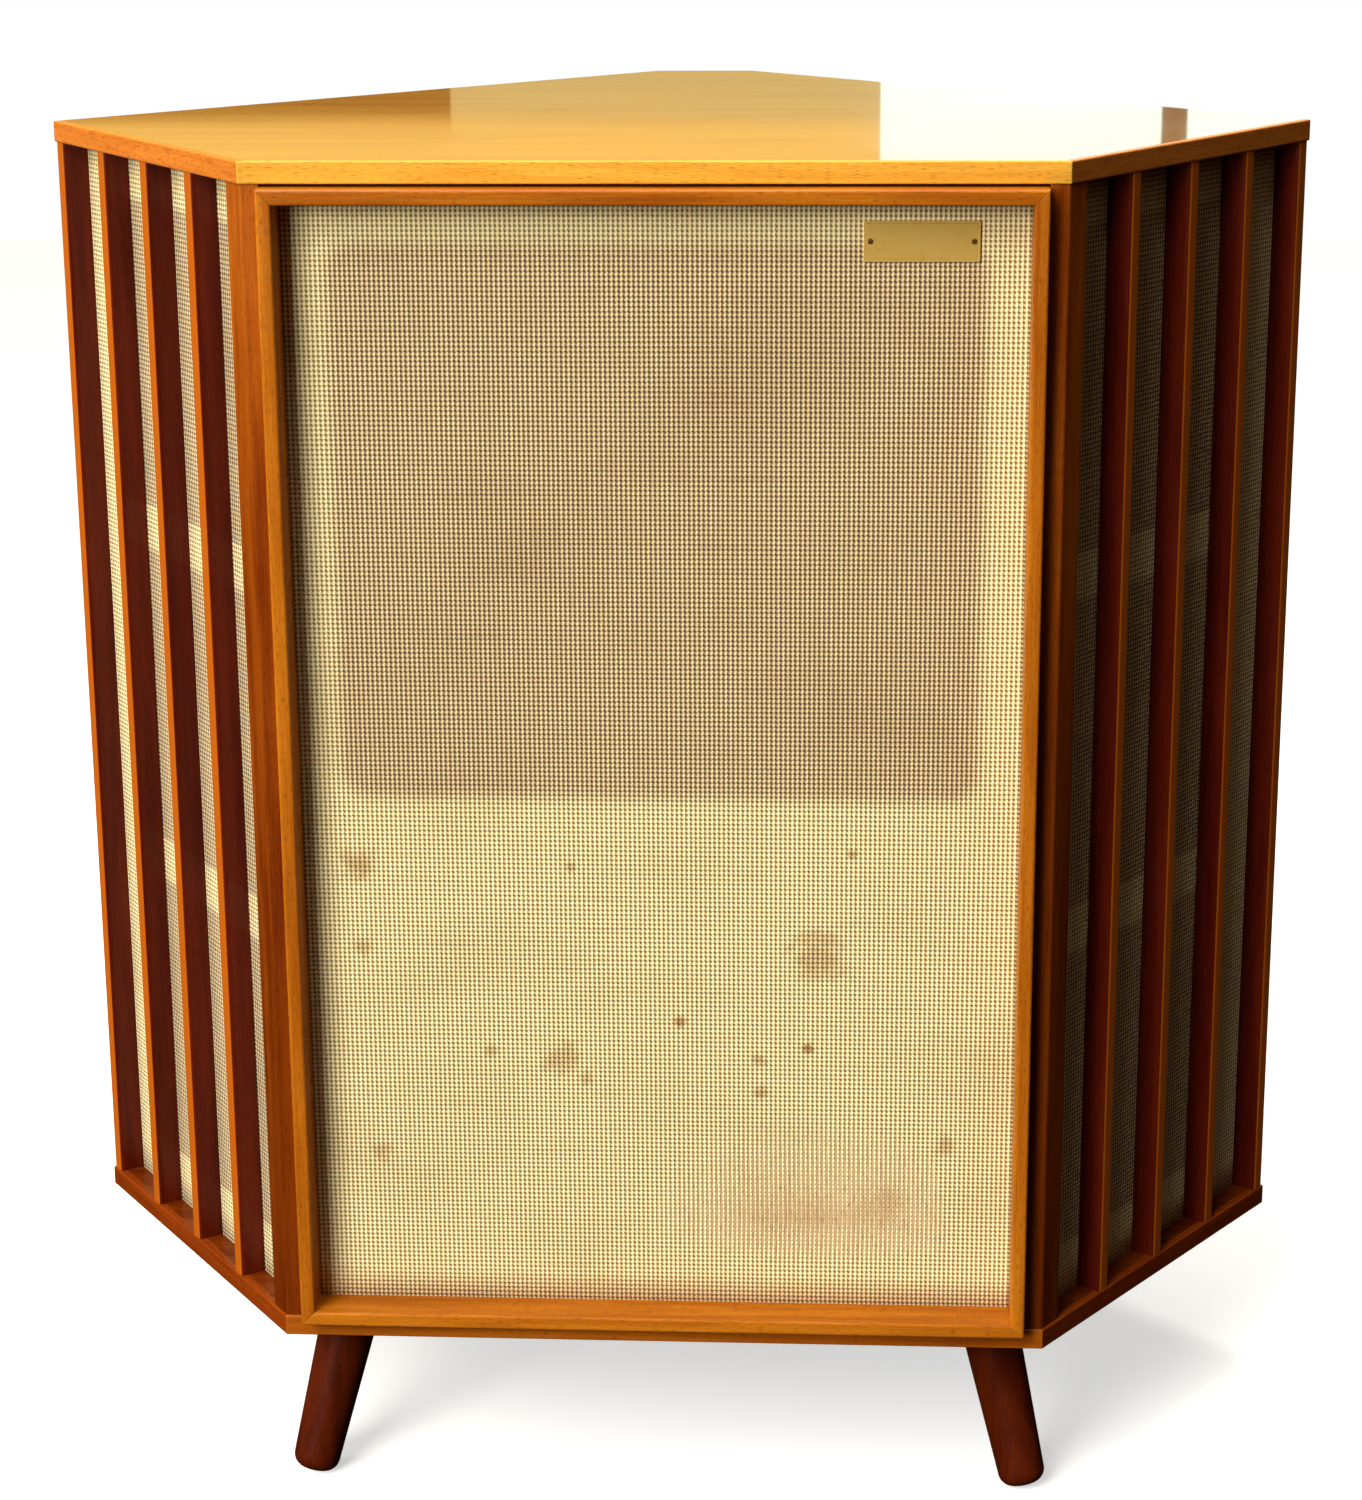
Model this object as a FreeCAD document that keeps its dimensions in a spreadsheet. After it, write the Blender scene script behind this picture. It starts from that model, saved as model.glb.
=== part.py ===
import FreeCAD, Part
import os
import Sketcher
from FreeCAD import Rotation, Vector

# Corner loudspeaker cabinet. Plan view: narrow front, two slatted sides that open out to the
# widest point, two backs at right angles that stand against the walls of a room corner.
# X runs to the right, Y to the back and Z up. The origin is on the floor under the middle.

SIZES = {
    # the case
    "overallWidth": 980,
    "frontWidth": 585,
    "sideRun": 284,
    "backFlat": 84,
    "bodyHeight": 904,
    "boardThick": 16,
    "lipThick": 6,
    "lipEase": 1.2,
    "panelThick": 12,
    "backInset": 2,
    # side slats
    "slatThick": 14,
    "slatDepth": 21,
    "slatInset": 1,
    "slatEase": 3,
    "firstSlat": 84,
    "slatPitch": 82.4,
    "stileThick": 14,
    "postFace": 15,
    "postSide": 24,
    "postInset": 2,
    # side openings behind the cloth
    "railHigh": 36,
    "bayHigh": 240,
    "jambStart": 256,
    "clothThick": 1,
    # front grille
    "frameProud": 18,
    "frameFace": 11,
    "frameEase": 2,
    "frameGap": 0.5,
    "frameTopGap": 2,
    "clothRecess": 33,
    "grilleBoardThick": 6,
    "looseGap": 0.5,
    "mouthWidth": 472,
    "mouthDown": 43,
    "mouthHigh": 412,
    "mouthCorner": 14,
    "pegRadius": 5,
    "pegLength": 12,
    "pegGap": 0.3,
    "pegAside": 255,
    "pegLow": 100,
    "pegDown": 98,
    # badge
    "badgeWide": 82,
    "badgeHigh": 29,
    "badgeThick": 1.5,
    "badgeAside": 36,
    "badgeDown": 14,
    "badgeScrewRadius": 2,
    "badgeScrewHigh": 1,
    "badgeScrewIn": 4.5,
    # horn and chamber behind the front
    "flareDepth": 115,
    "flareWall": 12,
    "throatHalf": 206,
    "baffleThick": 18,
    "baffleHalf": 240,
    "chamberDepth": 252,
    "chamberRearHalf": 150,
    "chamberThick": 12,
    "shelfThick": 16,
    "shelfMargin": 14,
    "throatHigh": 70,
    # drive unit
    "driverRadius": 192,
    "cutoutRadius": 172,
    "flangeThick": 6,
    "gasketThick": 3,
    "gasketWide": 12,
    "coneRadius": 158,
    "coneDepth": 74,
    "coneWall": 1.2,
    "capRadius": 40,
    "basketWall": 3,
    "basketDepth": 104,
    "basketRear": 74,
    "magnetRadius": 82,
    "magnetDepth": 78,
    "coilRadius": 38,
    "coilWall": 1,
    "coilLength": 34,
    "gapWide": 1.2,
    "softGap": 0.5,
    "surroundWall": 1,
    "boltRadius": 4,
    "boltHead": 3,
    "boltCircle": 184,
    "boltCount": 8,
    # crossover on the floor board
    "crossoverWide": 150,
    "crossoverLong": 110,
    "crossoverThick": 9,
    "crossoverBack": 190,
    "inductorRadius": 27,
    "inductorBore": 10,
    "inductorHigh": 28,
    "inductorAside": 40,
    "capacitorRadius": 14,
    "capacitorLong": 52,
    "capacitorPitch": 36,
    # wire terminals on the back flat
    "plateWide": 64,
    "plateHigh": 44,
    "plateThick": 2,
    "terminalUp": 150,
    "terminalAside": 15,
    "studRadius": 2.5,
    "studReach": 18,
    "studGap": 0.05,
    "nutRadius": 8,
    "nutLength": 12,
    "nutStand": 2,
    # legs
    "legHeight": 140,
    "legTopRadius": 25,
    "legFootRadius": 18,
    "legToe": 11,
    "legSink": 1,
    "legPlateSize": 58,
    "legPlateThick": 3,
    "frontLegAside": 250,
    "frontLegBack": 82,
    "frontLegSplay": 33,
    "frontLegForward": 38,
    "rearLegAside": 118,
    "rearLegBack": 560,
    "rearLegSplay": 22,
    "rearLegRearward": 24,
}

# Places that follow from the sizes. Every height here is above the underside of the bottom board.
PLAN = {
    "sideSpread": "(Sizes.overallWidth - Sizes.frontWidth) / 2",
    "sideAngle": "atan2(Sizes.sideRun; (Sizes.overallWidth - Sizes.frontWidth) / 2) / 1 deg",
    "sideLength": "sqrt(Sizes.sideRun ^ 2 + Plan.sideSpread ^ 2)",
    "backSpread": "(Sizes.overallWidth - Sizes.backFlat) / 2",
    "backLength": "sqrt(2) * Plan.backSpread",
    "depth": "Sizes.sideRun + Plan.backSpread",
    "centreY": "(Plan.depth + Sizes.studReach - Sizes.frameProud) / 2",
    "innerHigh": "Sizes.bodyHeight - 2 * Sizes.boardThick",
    "ceiling": "Sizes.bodyHeight - Sizes.boardThick",
    "lipFront": "Sizes.frontWidth / 2 - Sizes.lipThick * tan(Plan.sideAngle / 2)",
    "lipRun": "Sizes.lipThick / sin(Plan.sideAngle + 45) * cos(45)",
    "frameHalf": "Sizes.frontWidth / 2 - Sizes.postFace",
    "frameInner": "Plan.frameHalf - Sizes.frameFace",
    "frameLow": "Sizes.boardThick + Sizes.frameGap",
    "frameHigh": "Plan.ceiling - Sizes.frameTopGap - Plan.frameLow",
    "clothFront": "Sizes.clothRecess - Sizes.frameProud",
    "clothBack": "Plan.clothFront + Sizes.clothThick",
    "grilleBack": "Plan.clothBack + Sizes.grilleBoardThick",
    "panelBack": "Plan.grilleBack + Sizes.looseGap + Sizes.panelThick",
    "railFront": "Sizes.slatDepth + Sizes.clothThick",
    "railBack": "Plan.railFront + Sizes.panelThick",
    "jambEnd": "Plan.sideLength - Sizes.stileThick",
    "postEdge": "Plan.frameHalf + Sizes.frameGap",
    "postRun": "max(Sizes.postSide; (Plan.postEdge - Sizes.frontWidth / 2"
               " + sin(Plan.sideAngle) * Plan.railBack) / cos(Plan.sideAngle))",
    "postDepth": "(Sizes.frontWidth / 2 + cos(Plan.sideAngle) * Plan.postRun - Plan.postEdge)"
                 " / sin(Plan.sideAngle)",
    "baffleFront": "Plan.panelBack + Sizes.flareDepth",
    "baffleBack": "Plan.baffleFront + Sizes.baffleThick",
    "chamberEnd": "Plan.baffleBack + Sizes.chamberDepth",
    "mouthLow": "Plan.ceiling - Sizes.mouthDown - Sizes.mouthHigh",
    "driverUp": "Plan.mouthLow + Sizes.mouthHigh / 2",
    "backMitre": "tan(22.5)",
    "backStart": "Plan.railBack * sin(Plan.sideAngle + 45) + Sizes.looseGap",
    "backSkin": "Sizes.backInset + Sizes.panelThick",
}

FRAMES = {
    "room": ("0", "0", "0"),
    "sideRight": ("Sizes.frontWidth / 2", "0", "Plan.sideAngle"),
    "sideLeft": ("-Sizes.frontWidth / 2", "0", "180 - Plan.sideAngle"),
    "backRight": ("Sizes.overallWidth / 2", "Sizes.sideRun", "135"),
    "backLeft": ("-Sizes.overallWidth / 2", "Sizes.sideRun", "45"),
}

SIDES = (("left", -1), ("right", 1))

doc = FreeCAD.newDocument("CornerLoudspeaker")
nodes = []


def makeSheet():
    sheet = doc.addObject("Spreadsheet::Sheet", "Sizes")
    for row, (alias, value) in enumerate(SIZES.items(), start=1):
        sheet.set(f"A{row}", alias)
        sheet.set(f"B{row}", str(value))
        sheet.setAlias(f"B{row}", alias)
    doc.recompute()


def makePlan():
    plan = doc.addObject("App::VarSet", "Plan")
    for name, formula in PLAN.items():
        plan.addProperty("App::PropertyFloat", name, "Plan")
        plan.setExpression(name, formula)
        doc.recompute()


def number(expression):
    return float(doc.Sizes.evalExpression(expression))


def keep(piece, label):
    piece.Label = label
    nodes.append(piece)
    return piece


def place(piece, frame, x="0", y="0", z="0"):
    """Put a piece in one of the plan's frames, x, y and z being inside that frame's origin."""
    originX, originY, angle = FRAMES[frame]
    piece.setExpression("Placement.Base.x", f"{originX} + {x}")
    piece.setExpression("Placement.Base.y", f"{originY} + {y} - Plan.centreY")
    piece.setExpression("Placement.Base.z", f"Sizes.legHeight + {z}")
    if angle != "0":
        piece.setExpression("Placement.Rotation.Angle", angle)


def newBody(name):
    return doc.addObject("PartDesign::Body", name)


def newSketch(body, name, plane, lift=None):
    sketch = body.newObject("Sketcher::SketchObject", name)
    support = next(f for f in body.Origin.OriginFeatures if f.Role == plane)
    sketch.AttachmentSupport = (support, [""])
    sketch.MapMode = "FlatFace"
    if lift is not None:
        sketch.setExpression("AttachmentOffset.Base.z", lift)
    return sketch


def bind(sketch, kind, target, expression):
    """Add one dimension to a sketch and tie it to an expression."""
    index = sketch.addConstraint(Sketcher.Constraint(kind, *target, number(expression)))
    sketch.setExpression(f"Constraints[{index}]", expression)


def drawOutline(sketch, corners):
    """Draw a closed outline of straight lines through corners given as pairs of expressions."""
    points = [Vector(number(x), number(y), 0) for x, y in corners]
    count = len(points)
    first = sketch.GeometryCount
    for i in range(count):
        sketch.addGeometry(Part.LineSegment(points[i], points[(i + 1) % count]), False)
    for i in range(count):
        follower = first + (i + 1) % count
        sketch.addConstraint(Sketcher.Constraint("Coincident", first + i, 2, follower, 1))
    for i, (x, y) in enumerate(corners):
        bind(sketch, "DistanceX", (-1, 1, first + i, 1), x)
        bind(sketch, "DistanceY", (-1, 1, first + i, 1), y)


def drawCircle(sketch, x, y, radius):
    centre = Vector(number(x), number(y), 0)
    index = sketch.addGeometry(Part.Circle(centre, Vector(0, 0, 1), number(radius)), False)
    bind(sketch, "DistanceX", (-1, 1, index, 3), x)
    bind(sketch, "DistanceY", (-1, 1, index, 3), y)
    bind(sketch, "Radius", (index,), radius)


def addFeature(body, kind, sketch, length):
    feature = body.newObject(kind, f"{body.Name}{kind.split('::')[1]}")
    feature.Profile = sketch
    feature.setExpression("Length", length)
    doc.recompute()
    return feature


def prism(name, plane, corners, length):
    """A body with one straight-sided outline, padded away from its plane."""
    body = newBody(name)
    sketch = newSketch(body, f"{name}Outline", plane)
    drawOutline(sketch, corners)
    addFeature(body, "PartDesign::Pad", sketch, length)
    return body


def cutThrough(body, plane, draw, length, reverse=False):
    """Pocket a shape out of a body and check that it took material away."""
    before = body.Shape.Volume
    sketch = newSketch(body, f"{body.Name}Cut", plane)
    draw(sketch)
    pocket = addFeature(body, "PartDesign::Pocket", sketch, length)
    pocket.Reversed = reverse
    doc.recompute()
    if body.Shape.Volume >= before:
        raise RuntimeError(f"{body.Name}: the cut removed nothing")


def easeEdges(body, radius, chosen):
    """Round the edges of a body whose middle point passes a test."""
    tip = body.Tip
    shape = tip.Shape
    names = []
    for i, edge in enumerate(shape.Edges, start=1):
        if chosen(edge):
            names.append(f"Edge{i}")
    if not names:
        raise RuntimeError(f"{body.Name}: no edge to round")
    fillet = body.newObject("PartDesign::Fillet", f"{body.Name}Round")
    fillet.Base = (tip, names)
    fillet.setExpression("Radius", radius)
    doc.recompute()


def runsAlong(edge, axis):
    ends = edge.Vertexes
    if len(ends) < 2:
        return False
    run = ends[1].Point - ends[0].Point
    return run.Length > 0 and abs(run.normalize().dot(axis)) > 0.999


def middle(edge):
    return edge.valueAt((edge.FirstParameter + edge.LastParameter) / 2)


def revolved(name, corners):
    """A body turned about its own Y axis; the corners are (depth, radius) pairs."""
    body = newBody(name)
    sketch = newSketch(body, f"{name}Section", "YZ_Plane")
    drawOutline(sketch, corners)
    turn = body.newObject("PartDesign::Revolution", f"{name}Turn")
    turn.Profile = sketch
    turn.ReferenceAxis = (sketch, ["H_Axis"])
    turn.Angle = 360
    doc.recompute()
    return body


def group(label, pieces):
    bundle = doc.addObject("Part::Compound", label.title().replace("_", ""))
    bundle.Links = pieces
    return keep(bundle, label)


def rod(name, radius, length, x, y, z, turn=None):
    """A round rod along Z, or along the axis that the turn gives, starting at x, y, z."""
    piece = doc.addObject("Part::Cylinder", name)
    piece.setExpression("Radius", radius)
    piece.setExpression("Height", length)
    if turn is not None:
        piece.Placement = FreeCAD.Placement(Vector(), turn)
    place(piece, "room", x, y, z)
    return piece


# Turns that lay a rod down: towards the back and towards the front.
TO_BACK = Rotation(Vector(1, 0, 0), -90)
TO_FRONT = Rotation(Vector(1, 0, 0), 90)


def boardCore():
    """Corners of a board's core, inside the strips along its front and sides."""
    half = [
        ("Plan.lipFront", "Sizes.lipThick"),
        ("(Sizes.overallWidth / 2 - Plan.lipRun)", "Sizes.sideRun + Plan.lipRun"),
        ("Sizes.backFlat / 2", "Plan.depth"),
    ]
    other = [(f"-{x}", y) for x, y in reversed(half)]
    return half + other


def makeBoard(label, low):
    """A top or bottom board: a veneered core with three strips mitred round its edges."""
    core = prism(f"{label}Core", "XY_Plane", boardCore(), "Sizes.boardThick")
    place(core, "room", z=low)
    keep(core, label)
    strips = []
    front = [
        ("-Sizes.frontWidth / 2", "0"),
        ("Sizes.frontWidth / 2", "0"),
        ("Plan.lipFront", "Sizes.lipThick"),
        ("-Plan.lipFront", "Sizes.lipThick"),
    ]
    strips.append(prism(f"{label}FrontStrip", "XY_Plane", front, "Sizes.boardThick"))
    for side, sign in SIDES:
        corners = [
            (f"{sign} * Sizes.frontWidth / 2", "0"),
            (f"{sign} * Sizes.overallWidth / 2", "Sizes.sideRun"),
            (f"{sign} * (Sizes.overallWidth / 2 - Plan.lipRun)", "Sizes.sideRun + Plan.lipRun"),
            (f"{sign} * Plan.lipFront", "Sizes.lipThick"),
        ]
        strips.append(prism(f"{label}{side}Strip", "XY_Plane", corners, "Sizes.boardThick"))
    for strip in strips:
        outer = Vector(0, -1, 0) if "Front" in strip.Name else None
        easeStrip(strip, outer)
        place(strip, "room", z=low)
    group(f"{label}_lipping", strips)


def easeStrip(strip, outer):
    """Round the two long outer edges of a board's strip."""
    spread = number("Plan.sideSpread")
    run = number("Sizes.sideRun")
    half = number("Sizes.frontWidth / 2")

    def onOuterFace(edge):
        point = middle(edge)
        if edge.Length < number("Sizes.boardThick") * 1.5:
            return False
        if outer is not None:
            return abs(point.y) < 0.01
        return abs((abs(point.x) - half) * run - point.y * spread) < 0.01 * run

    easeEdges(strip, "Sizes.lipEase", onOuterFace)


def makePosts():
    for side, sign in SIDES:
        corner = "(Sizes.frontWidth / 2 - Sizes.postInset * tan(Plan.sideAngle / 2))"
        sideX = ("(Sizes.frontWidth / 2 + cos(Plan.sideAngle) * Plan.postRun"
                 " - sin(Plan.sideAngle) * Sizes.postInset)")
        sideY = "sin(Plan.sideAngle) * Plan.postRun + cos(Plan.sideAngle) * Sizes.postInset"
        innerY = "sin(Plan.sideAngle) * Plan.postRun + cos(Plan.sideAngle) * Plan.postDepth"
        corners = [
            (f"{sign} * Plan.postEdge", "Sizes.postInset"),
            (f"{sign} * {corner}", "Sizes.postInset"),
            (f"{sign} * {sideX}", sideY),
            (f"{sign} * Plan.postEdge", innerY),
        ]
        post = prism(f"{side}Post", "XY_Plane", corners, "Plan.innerHigh")
        cornerX = number(corner)
        easeEdges(post, "Sizes.slatEase",
                  lambda e: runsAlong(e, Vector(0, 0, 1)) and abs(abs(middle(e).x) - cornerX) < 0.01)
        place(post, "room", z="Sizes.boardThick")
        keep(post, f"front_post_{side}")


def slatBody(name, sign, start, thick, depth):
    """An upright board square to the side, with its two outer edges eased."""
    corners = [
        (start, f"{sign} * Sizes.slatInset"),
        (f"{start} + {thick}", f"{sign} * Sizes.slatInset"),
        (f"{start} + {thick}", f"{sign} * {depth}"),
        (start, f"{sign} * {depth}"),
    ]
    body = prism(name, "XY_Plane", corners, "Plan.innerHigh")
    inset = number("Sizes.slatInset")
    easeEdges(body, "Sizes.slatEase",
              lambda e: runsAlong(e, Vector(0, 0, 1)) and abs(abs(middle(e).y) - inset) < 0.01)
    return body


def makeSlats():
    for side, sign in SIDES:
        frame = f"side{side.title()}"
        for i in range(3):
            start = f"Sizes.firstSlat + {i} * Sizes.slatPitch"
            slat = slatBody(f"{side}Slat{i + 1}", sign, start, "Sizes.slatThick", "Sizes.slatDepth")
            place(slat, frame, z="Sizes.boardThick")
            keep(slat, f"side_slat_{side}_{i + 1}")
        stile = slatBody(f"{side}Stile", sign, "Plan.jambEnd", "Sizes.stileThick", "Plan.railBack")
        place(stile, frame, z="Sizes.boardThick")
        keep(stile, f"rear_stile_{side}")


def sideSheet(name, sign, start, end, front, back, high):
    corners = [
        (start, f"{sign} * {front}"),
        (end, f"{sign} * {front}"),
        (end, f"{sign} * {back}"),
        (start, f"{sign} * {back}"),
    ]
    return prism(name, "XY_Plane", corners, high)


def makeSideGrilles():
    """Cloth on rails and a jamb behind the slats, with three open bays between the rails."""
    pitch = "(Sizes.railHigh + Sizes.bayHigh)"
    lows = ["Sizes.boardThick"]
    lows += [f"Plan.ceiling - Sizes.railHigh - {i} * {pitch}" for i in (2, 1, 0)]
    for side, sign in SIDES:
        frame = f"side{side.title()}"
        cloth = sideSheet(f"{side}Cloth", sign, "Plan.postRun", "Plan.jambEnd",
                          "Sizes.slatDepth", "Plan.railFront", "Plan.innerHigh")
        place(cloth, frame, z="Sizes.boardThick")
        keep(cloth, f"side_cloth_{side}")
        rails = []
        for i, low in enumerate(lows):
            rail = sideSheet(f"{side}Rail{i + 1}", sign, "Plan.postRun", "Sizes.jambStart",
                             "Plan.railFront", "Plan.railBack", "Sizes.railHigh")
            place(rail, frame, z=low)
            rails.append(rail)
        group(f"side_rails_{side}", rails)
        jamb = sideSheet(f"{side}Jamb", sign, "Sizes.jambStart", "Plan.jambEnd",
                         "Plan.railFront", "Plan.railBack", "Plan.innerHigh")
        place(jamb, frame, z="Sizes.boardThick")
        keep(jamb, f"side_jamb_{side}")


def frameMember(name, corners):
    """One mitred member of the front frame: outline in the front plane, padded forwards."""
    body = prism(name, "XZ_Plane", corners, "Sizes.frameProud + Plan.grilleBack")
    front = -number("Sizes.frameProud + Plan.grilleBack")
    long = number("Sizes.frameFace") * 2
    easeEdges(body, "Sizes.frameEase", lambda e: e.Length > long and abs(middle(e).y - front) < 0.01)
    place(body, "room", y="Plan.grilleBack", z="Plan.frameLow")
    return body


def makeFrame():
    innerTop = "Plan.frameHigh - Sizes.frameFace"
    rails = {
        "frame_rail_top": [
            ("-Plan.frameHalf", "Plan.frameHigh"),
            ("-Plan.frameInner", innerTop),
            ("Plan.frameInner", innerTop),
            ("Plan.frameHalf", "Plan.frameHigh"),
        ],
        "frame_rail_bottom": [
            ("-Plan.frameHalf", "0"),
            ("Plan.frameHalf", "0"),
            ("Plan.frameInner", "Sizes.frameFace"),
            ("-Plan.frameInner", "Sizes.frameFace"),
        ],
    }
    for side, sign in SIDES:
        rails[f"frame_stile_{side}"] = [
            (f"{sign} * Plan.frameHalf", "0"),
            (f"{sign} * Plan.frameHalf", "Plan.frameHigh"),
            (f"{sign} * Plan.frameInner", innerTop),
            (f"{sign} * Plan.frameInner", "Sizes.frameFace"),
        ]
    for label, corners in rails.items():
        keep(frameMember(label.title().replace("_", ""), corners), label)


def facePanel(name, half, low, high, back, thick):
    """An upright panel across the front with the mouth cut in it, its lower corners rounded."""
    corners = [(f"-{half}", "0"), (half, "0"), (half, high), (f"-{half}", high)]
    body = prism(name, "XZ_Plane", corners, thick)
    mouthLow = f"Plan.mouthLow - ({low})"
    mouthTop = f"{mouthLow} + Sizes.mouthHigh"
    mouthHalf = "Sizes.mouthWidth / 2"
    mouth = [
        (f"-{mouthHalf}", mouthLow),
        (mouthHalf, mouthLow),
        (mouthHalf, mouthTop),
        (f"-{mouthHalf}", mouthTop),
    ]
    cutThrough(body, "XZ_Plane", lambda sketch: drawOutline(sketch, mouth), thick, reverse=True)
    sill = number(mouthLow)
    halfMouth = number(mouthHalf)
    easeEdges(body, "Sizes.mouthCorner",
              lambda e: runsAlong(e, Vector(0, 1, 0)) and abs(middle(e).z - sill) < 0.01
              and abs(abs(middle(e).x) - halfMouth) < 0.01)
    place(body, "room", y=back, z=low)
    return body


def pegPlaces():
    heights = ("Sizes.pegLow", "Plan.ceiling - Sizes.pegDown")
    return [(f"{sign} * Sizes.pegAside", height) for _, sign in SIDES for height in heights]


def makeGrille():
    low = "Plan.frameLow + Sizes.frameFace"
    high = "Plan.frameHigh - 2 * Sizes.frameFace"
    board = facePanel("GrilleBoard", "Plan.frameInner", low, high, "Plan.grilleBack",
                      "Sizes.grilleBoardThick")
    keep(board, "grille_board")
    corners = [
        ("-Plan.frameInner", "0"),
        ("Plan.frameInner", "0"),
        ("Plan.frameInner", high),
        ("-Plan.frameInner", high),
    ]
    cloth = prism("GrilleCloth", "XZ_Plane", corners, "Sizes.clothThick")
    place(cloth, "room", y="Plan.clothBack", z=low)
    keep(cloth, "grille_cloth")
    pegs = []
    for i, (x, z) in enumerate(pegPlaces()):
        pegs.append(rod(f"GrillePeg{i + 1}", "Sizes.pegRadius", "Sizes.pegLength",
                        x, "Plan.grilleBack", z, TO_BACK))
    group("grille_pegs", pegs)


def makeBadge():
    right = "(Plan.frameInner - Sizes.badgeAside)"
    top = "(Plan.frameLow + Plan.frameHigh - Sizes.frameFace - Sizes.badgeDown)"
    corners = [
        (f"{right} - Sizes.badgeWide", "-Sizes.badgeHigh"),
        (right, "-Sizes.badgeHigh"),
        (right, "0"),
        (f"{right} - Sizes.badgeWide", "0"),
    ]
    plate = prism("BadgePlate", "XZ_Plane", corners, "Sizes.badgeThick")
    place(plate, "room", y="Plan.clothFront", z=top)
    keep(plate, "badge_plate")
    screws = []
    for i, x in enumerate((f"{right} - Sizes.badgeScrewIn",
                           f"{right} - Sizes.badgeWide + Sizes.badgeScrewIn")):
        screws.append(rod(f"BadgeScrew{i + 1}", "Sizes.badgeScrewRadius", "Sizes.badgeScrewHigh",
                          x, "Plan.clothFront - Sizes.badgeThick", f"{top} - Sizes.badgeHigh / 2",
                          TO_FRONT))
    group("badge_screws", screws)


def makeFrontPanel():
    """The case's own front behind the grille, with sockets for the grille's four pegs."""
    panel = facePanel("FrontPanel", "(Plan.postEdge - Sizes.looseGap)", "Sizes.boardThick",
                      "Plan.innerHigh", "Plan.panelBack", "Sizes.panelThick")
    socket = "Sizes.pegRadius + Sizes.pegGap"
    for i, (x, z) in enumerate(pegPlaces()):
        cutThrough(panel, "XZ_Plane",
                   lambda sketch: drawCircle(sketch, x, f"{z} - Sizes.boardThick", socket),
                   "Sizes.panelThick", reverse=True)
    keep(panel, "front_panel")


def makeHorn():
    """The short horn: two splayed walls, a shelf under them and a baffle at the throat."""
    high = "Plan.ceiling - Plan.mouthLow"
    for side, sign in SIDES:
        corners = [
            (f"{sign} * Sizes.mouthWidth / 2", "Plan.panelBack"),
            (f"{sign} * (Sizes.mouthWidth / 2 + Sizes.flareWall)", "Plan.panelBack"),
            (f"{sign} * (Sizes.throatHalf + Sizes.flareWall)", "Plan.baffleFront"),
            (f"{sign} * Sizes.throatHalf", "Plan.baffleFront"),
        ]
        wall = prism(f"{side}Flare", "XY_Plane", corners, high)
        place(wall, "room", z="Plan.mouthLow")
        keep(wall, f"horn_wall_{side}")
    margin = "(Sizes.mouthWidth / 2 + Sizes.shelfMargin)"
    rear = "(Sizes.chamberRearHalf + Sizes.shelfMargin)"
    end = "Plan.chamberEnd + Sizes.chamberThick"
    shelf = prism("HornShelf", "XY_Plane", [
        (f"-{margin}", "Plan.panelBack"),
        (margin, "Plan.panelBack"),
        (margin, "Plan.baffleBack"),
        (rear, end),
        (f"-{rear}", end),
        (f"-{margin}", "Plan.baffleBack"),
    ], "Sizes.shelfThick")
    place(shelf, "room", z="Plan.mouthLow - Sizes.shelfThick")
    keep(shelf, "horn_shelf")
    baffle = prism("DriverBaffle", "XZ_Plane", [
        ("-Sizes.baffleHalf", "0"),
        ("Sizes.baffleHalf", "0"),
        ("Sizes.baffleHalf", high),
        ("-Sizes.baffleHalf", high),
    ], "Sizes.baffleThick")
    cutThrough(baffle, "XZ_Plane",
               lambda sketch: drawCircle(sketch, "0", "Sizes.mouthHigh / 2", "Sizes.cutoutRadius"),
               "Sizes.baffleThick", reverse=True)
    place(baffle, "room", y="Plan.baffleBack", z="Plan.mouthLow")
    keep(baffle, "driver_baffle")


def makeChamber():
    """The closed box behind the drive unit, open only at the slot under its rear board."""
    high = "Plan.ceiling - Plan.mouthLow"
    for side, sign in SIDES:
        corners = [
            (f"{sign} * (Sizes.baffleHalf - Sizes.chamberThick)", "Plan.baffleBack"),
            (f"{sign} * Sizes.baffleHalf", "Plan.baffleBack"),
            (f"{sign} * Sizes.chamberRearHalf", "Plan.chamberEnd"),
            (f"{sign} * (Sizes.chamberRearHalf - Sizes.chamberThick)", "Plan.chamberEnd"),
        ]
        wall = prism(f"{side}Chamber", "XY_Plane", corners, high)
        place(wall, "room", z="Plan.mouthLow")
        keep(wall, f"chamber_side_{side}")
    rear = prism("ChamberBack", "XY_Plane", [
        ("-Sizes.chamberRearHalf", "Plan.chamberEnd"),
        ("Sizes.chamberRearHalf", "Plan.chamberEnd"),
        ("Sizes.chamberRearHalf", "Plan.chamberEnd + Sizes.chamberThick"),
        ("-Sizes.chamberRearHalf", "Plan.chamberEnd + Sizes.chamberThick"),
    ], f"{high} - Sizes.throatHigh")
    place(rear, "room", z="Plan.mouthLow + Sizes.throatHigh")
    keep(rear, "chamber_back")


def placeDriver(piece):
    """The drive unit's own origin is on its axis in the plane of the baffle's front face."""
    place(piece, "room", y="Plan.baffleFront", z="Plan.driverUp")
    return piece


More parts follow.
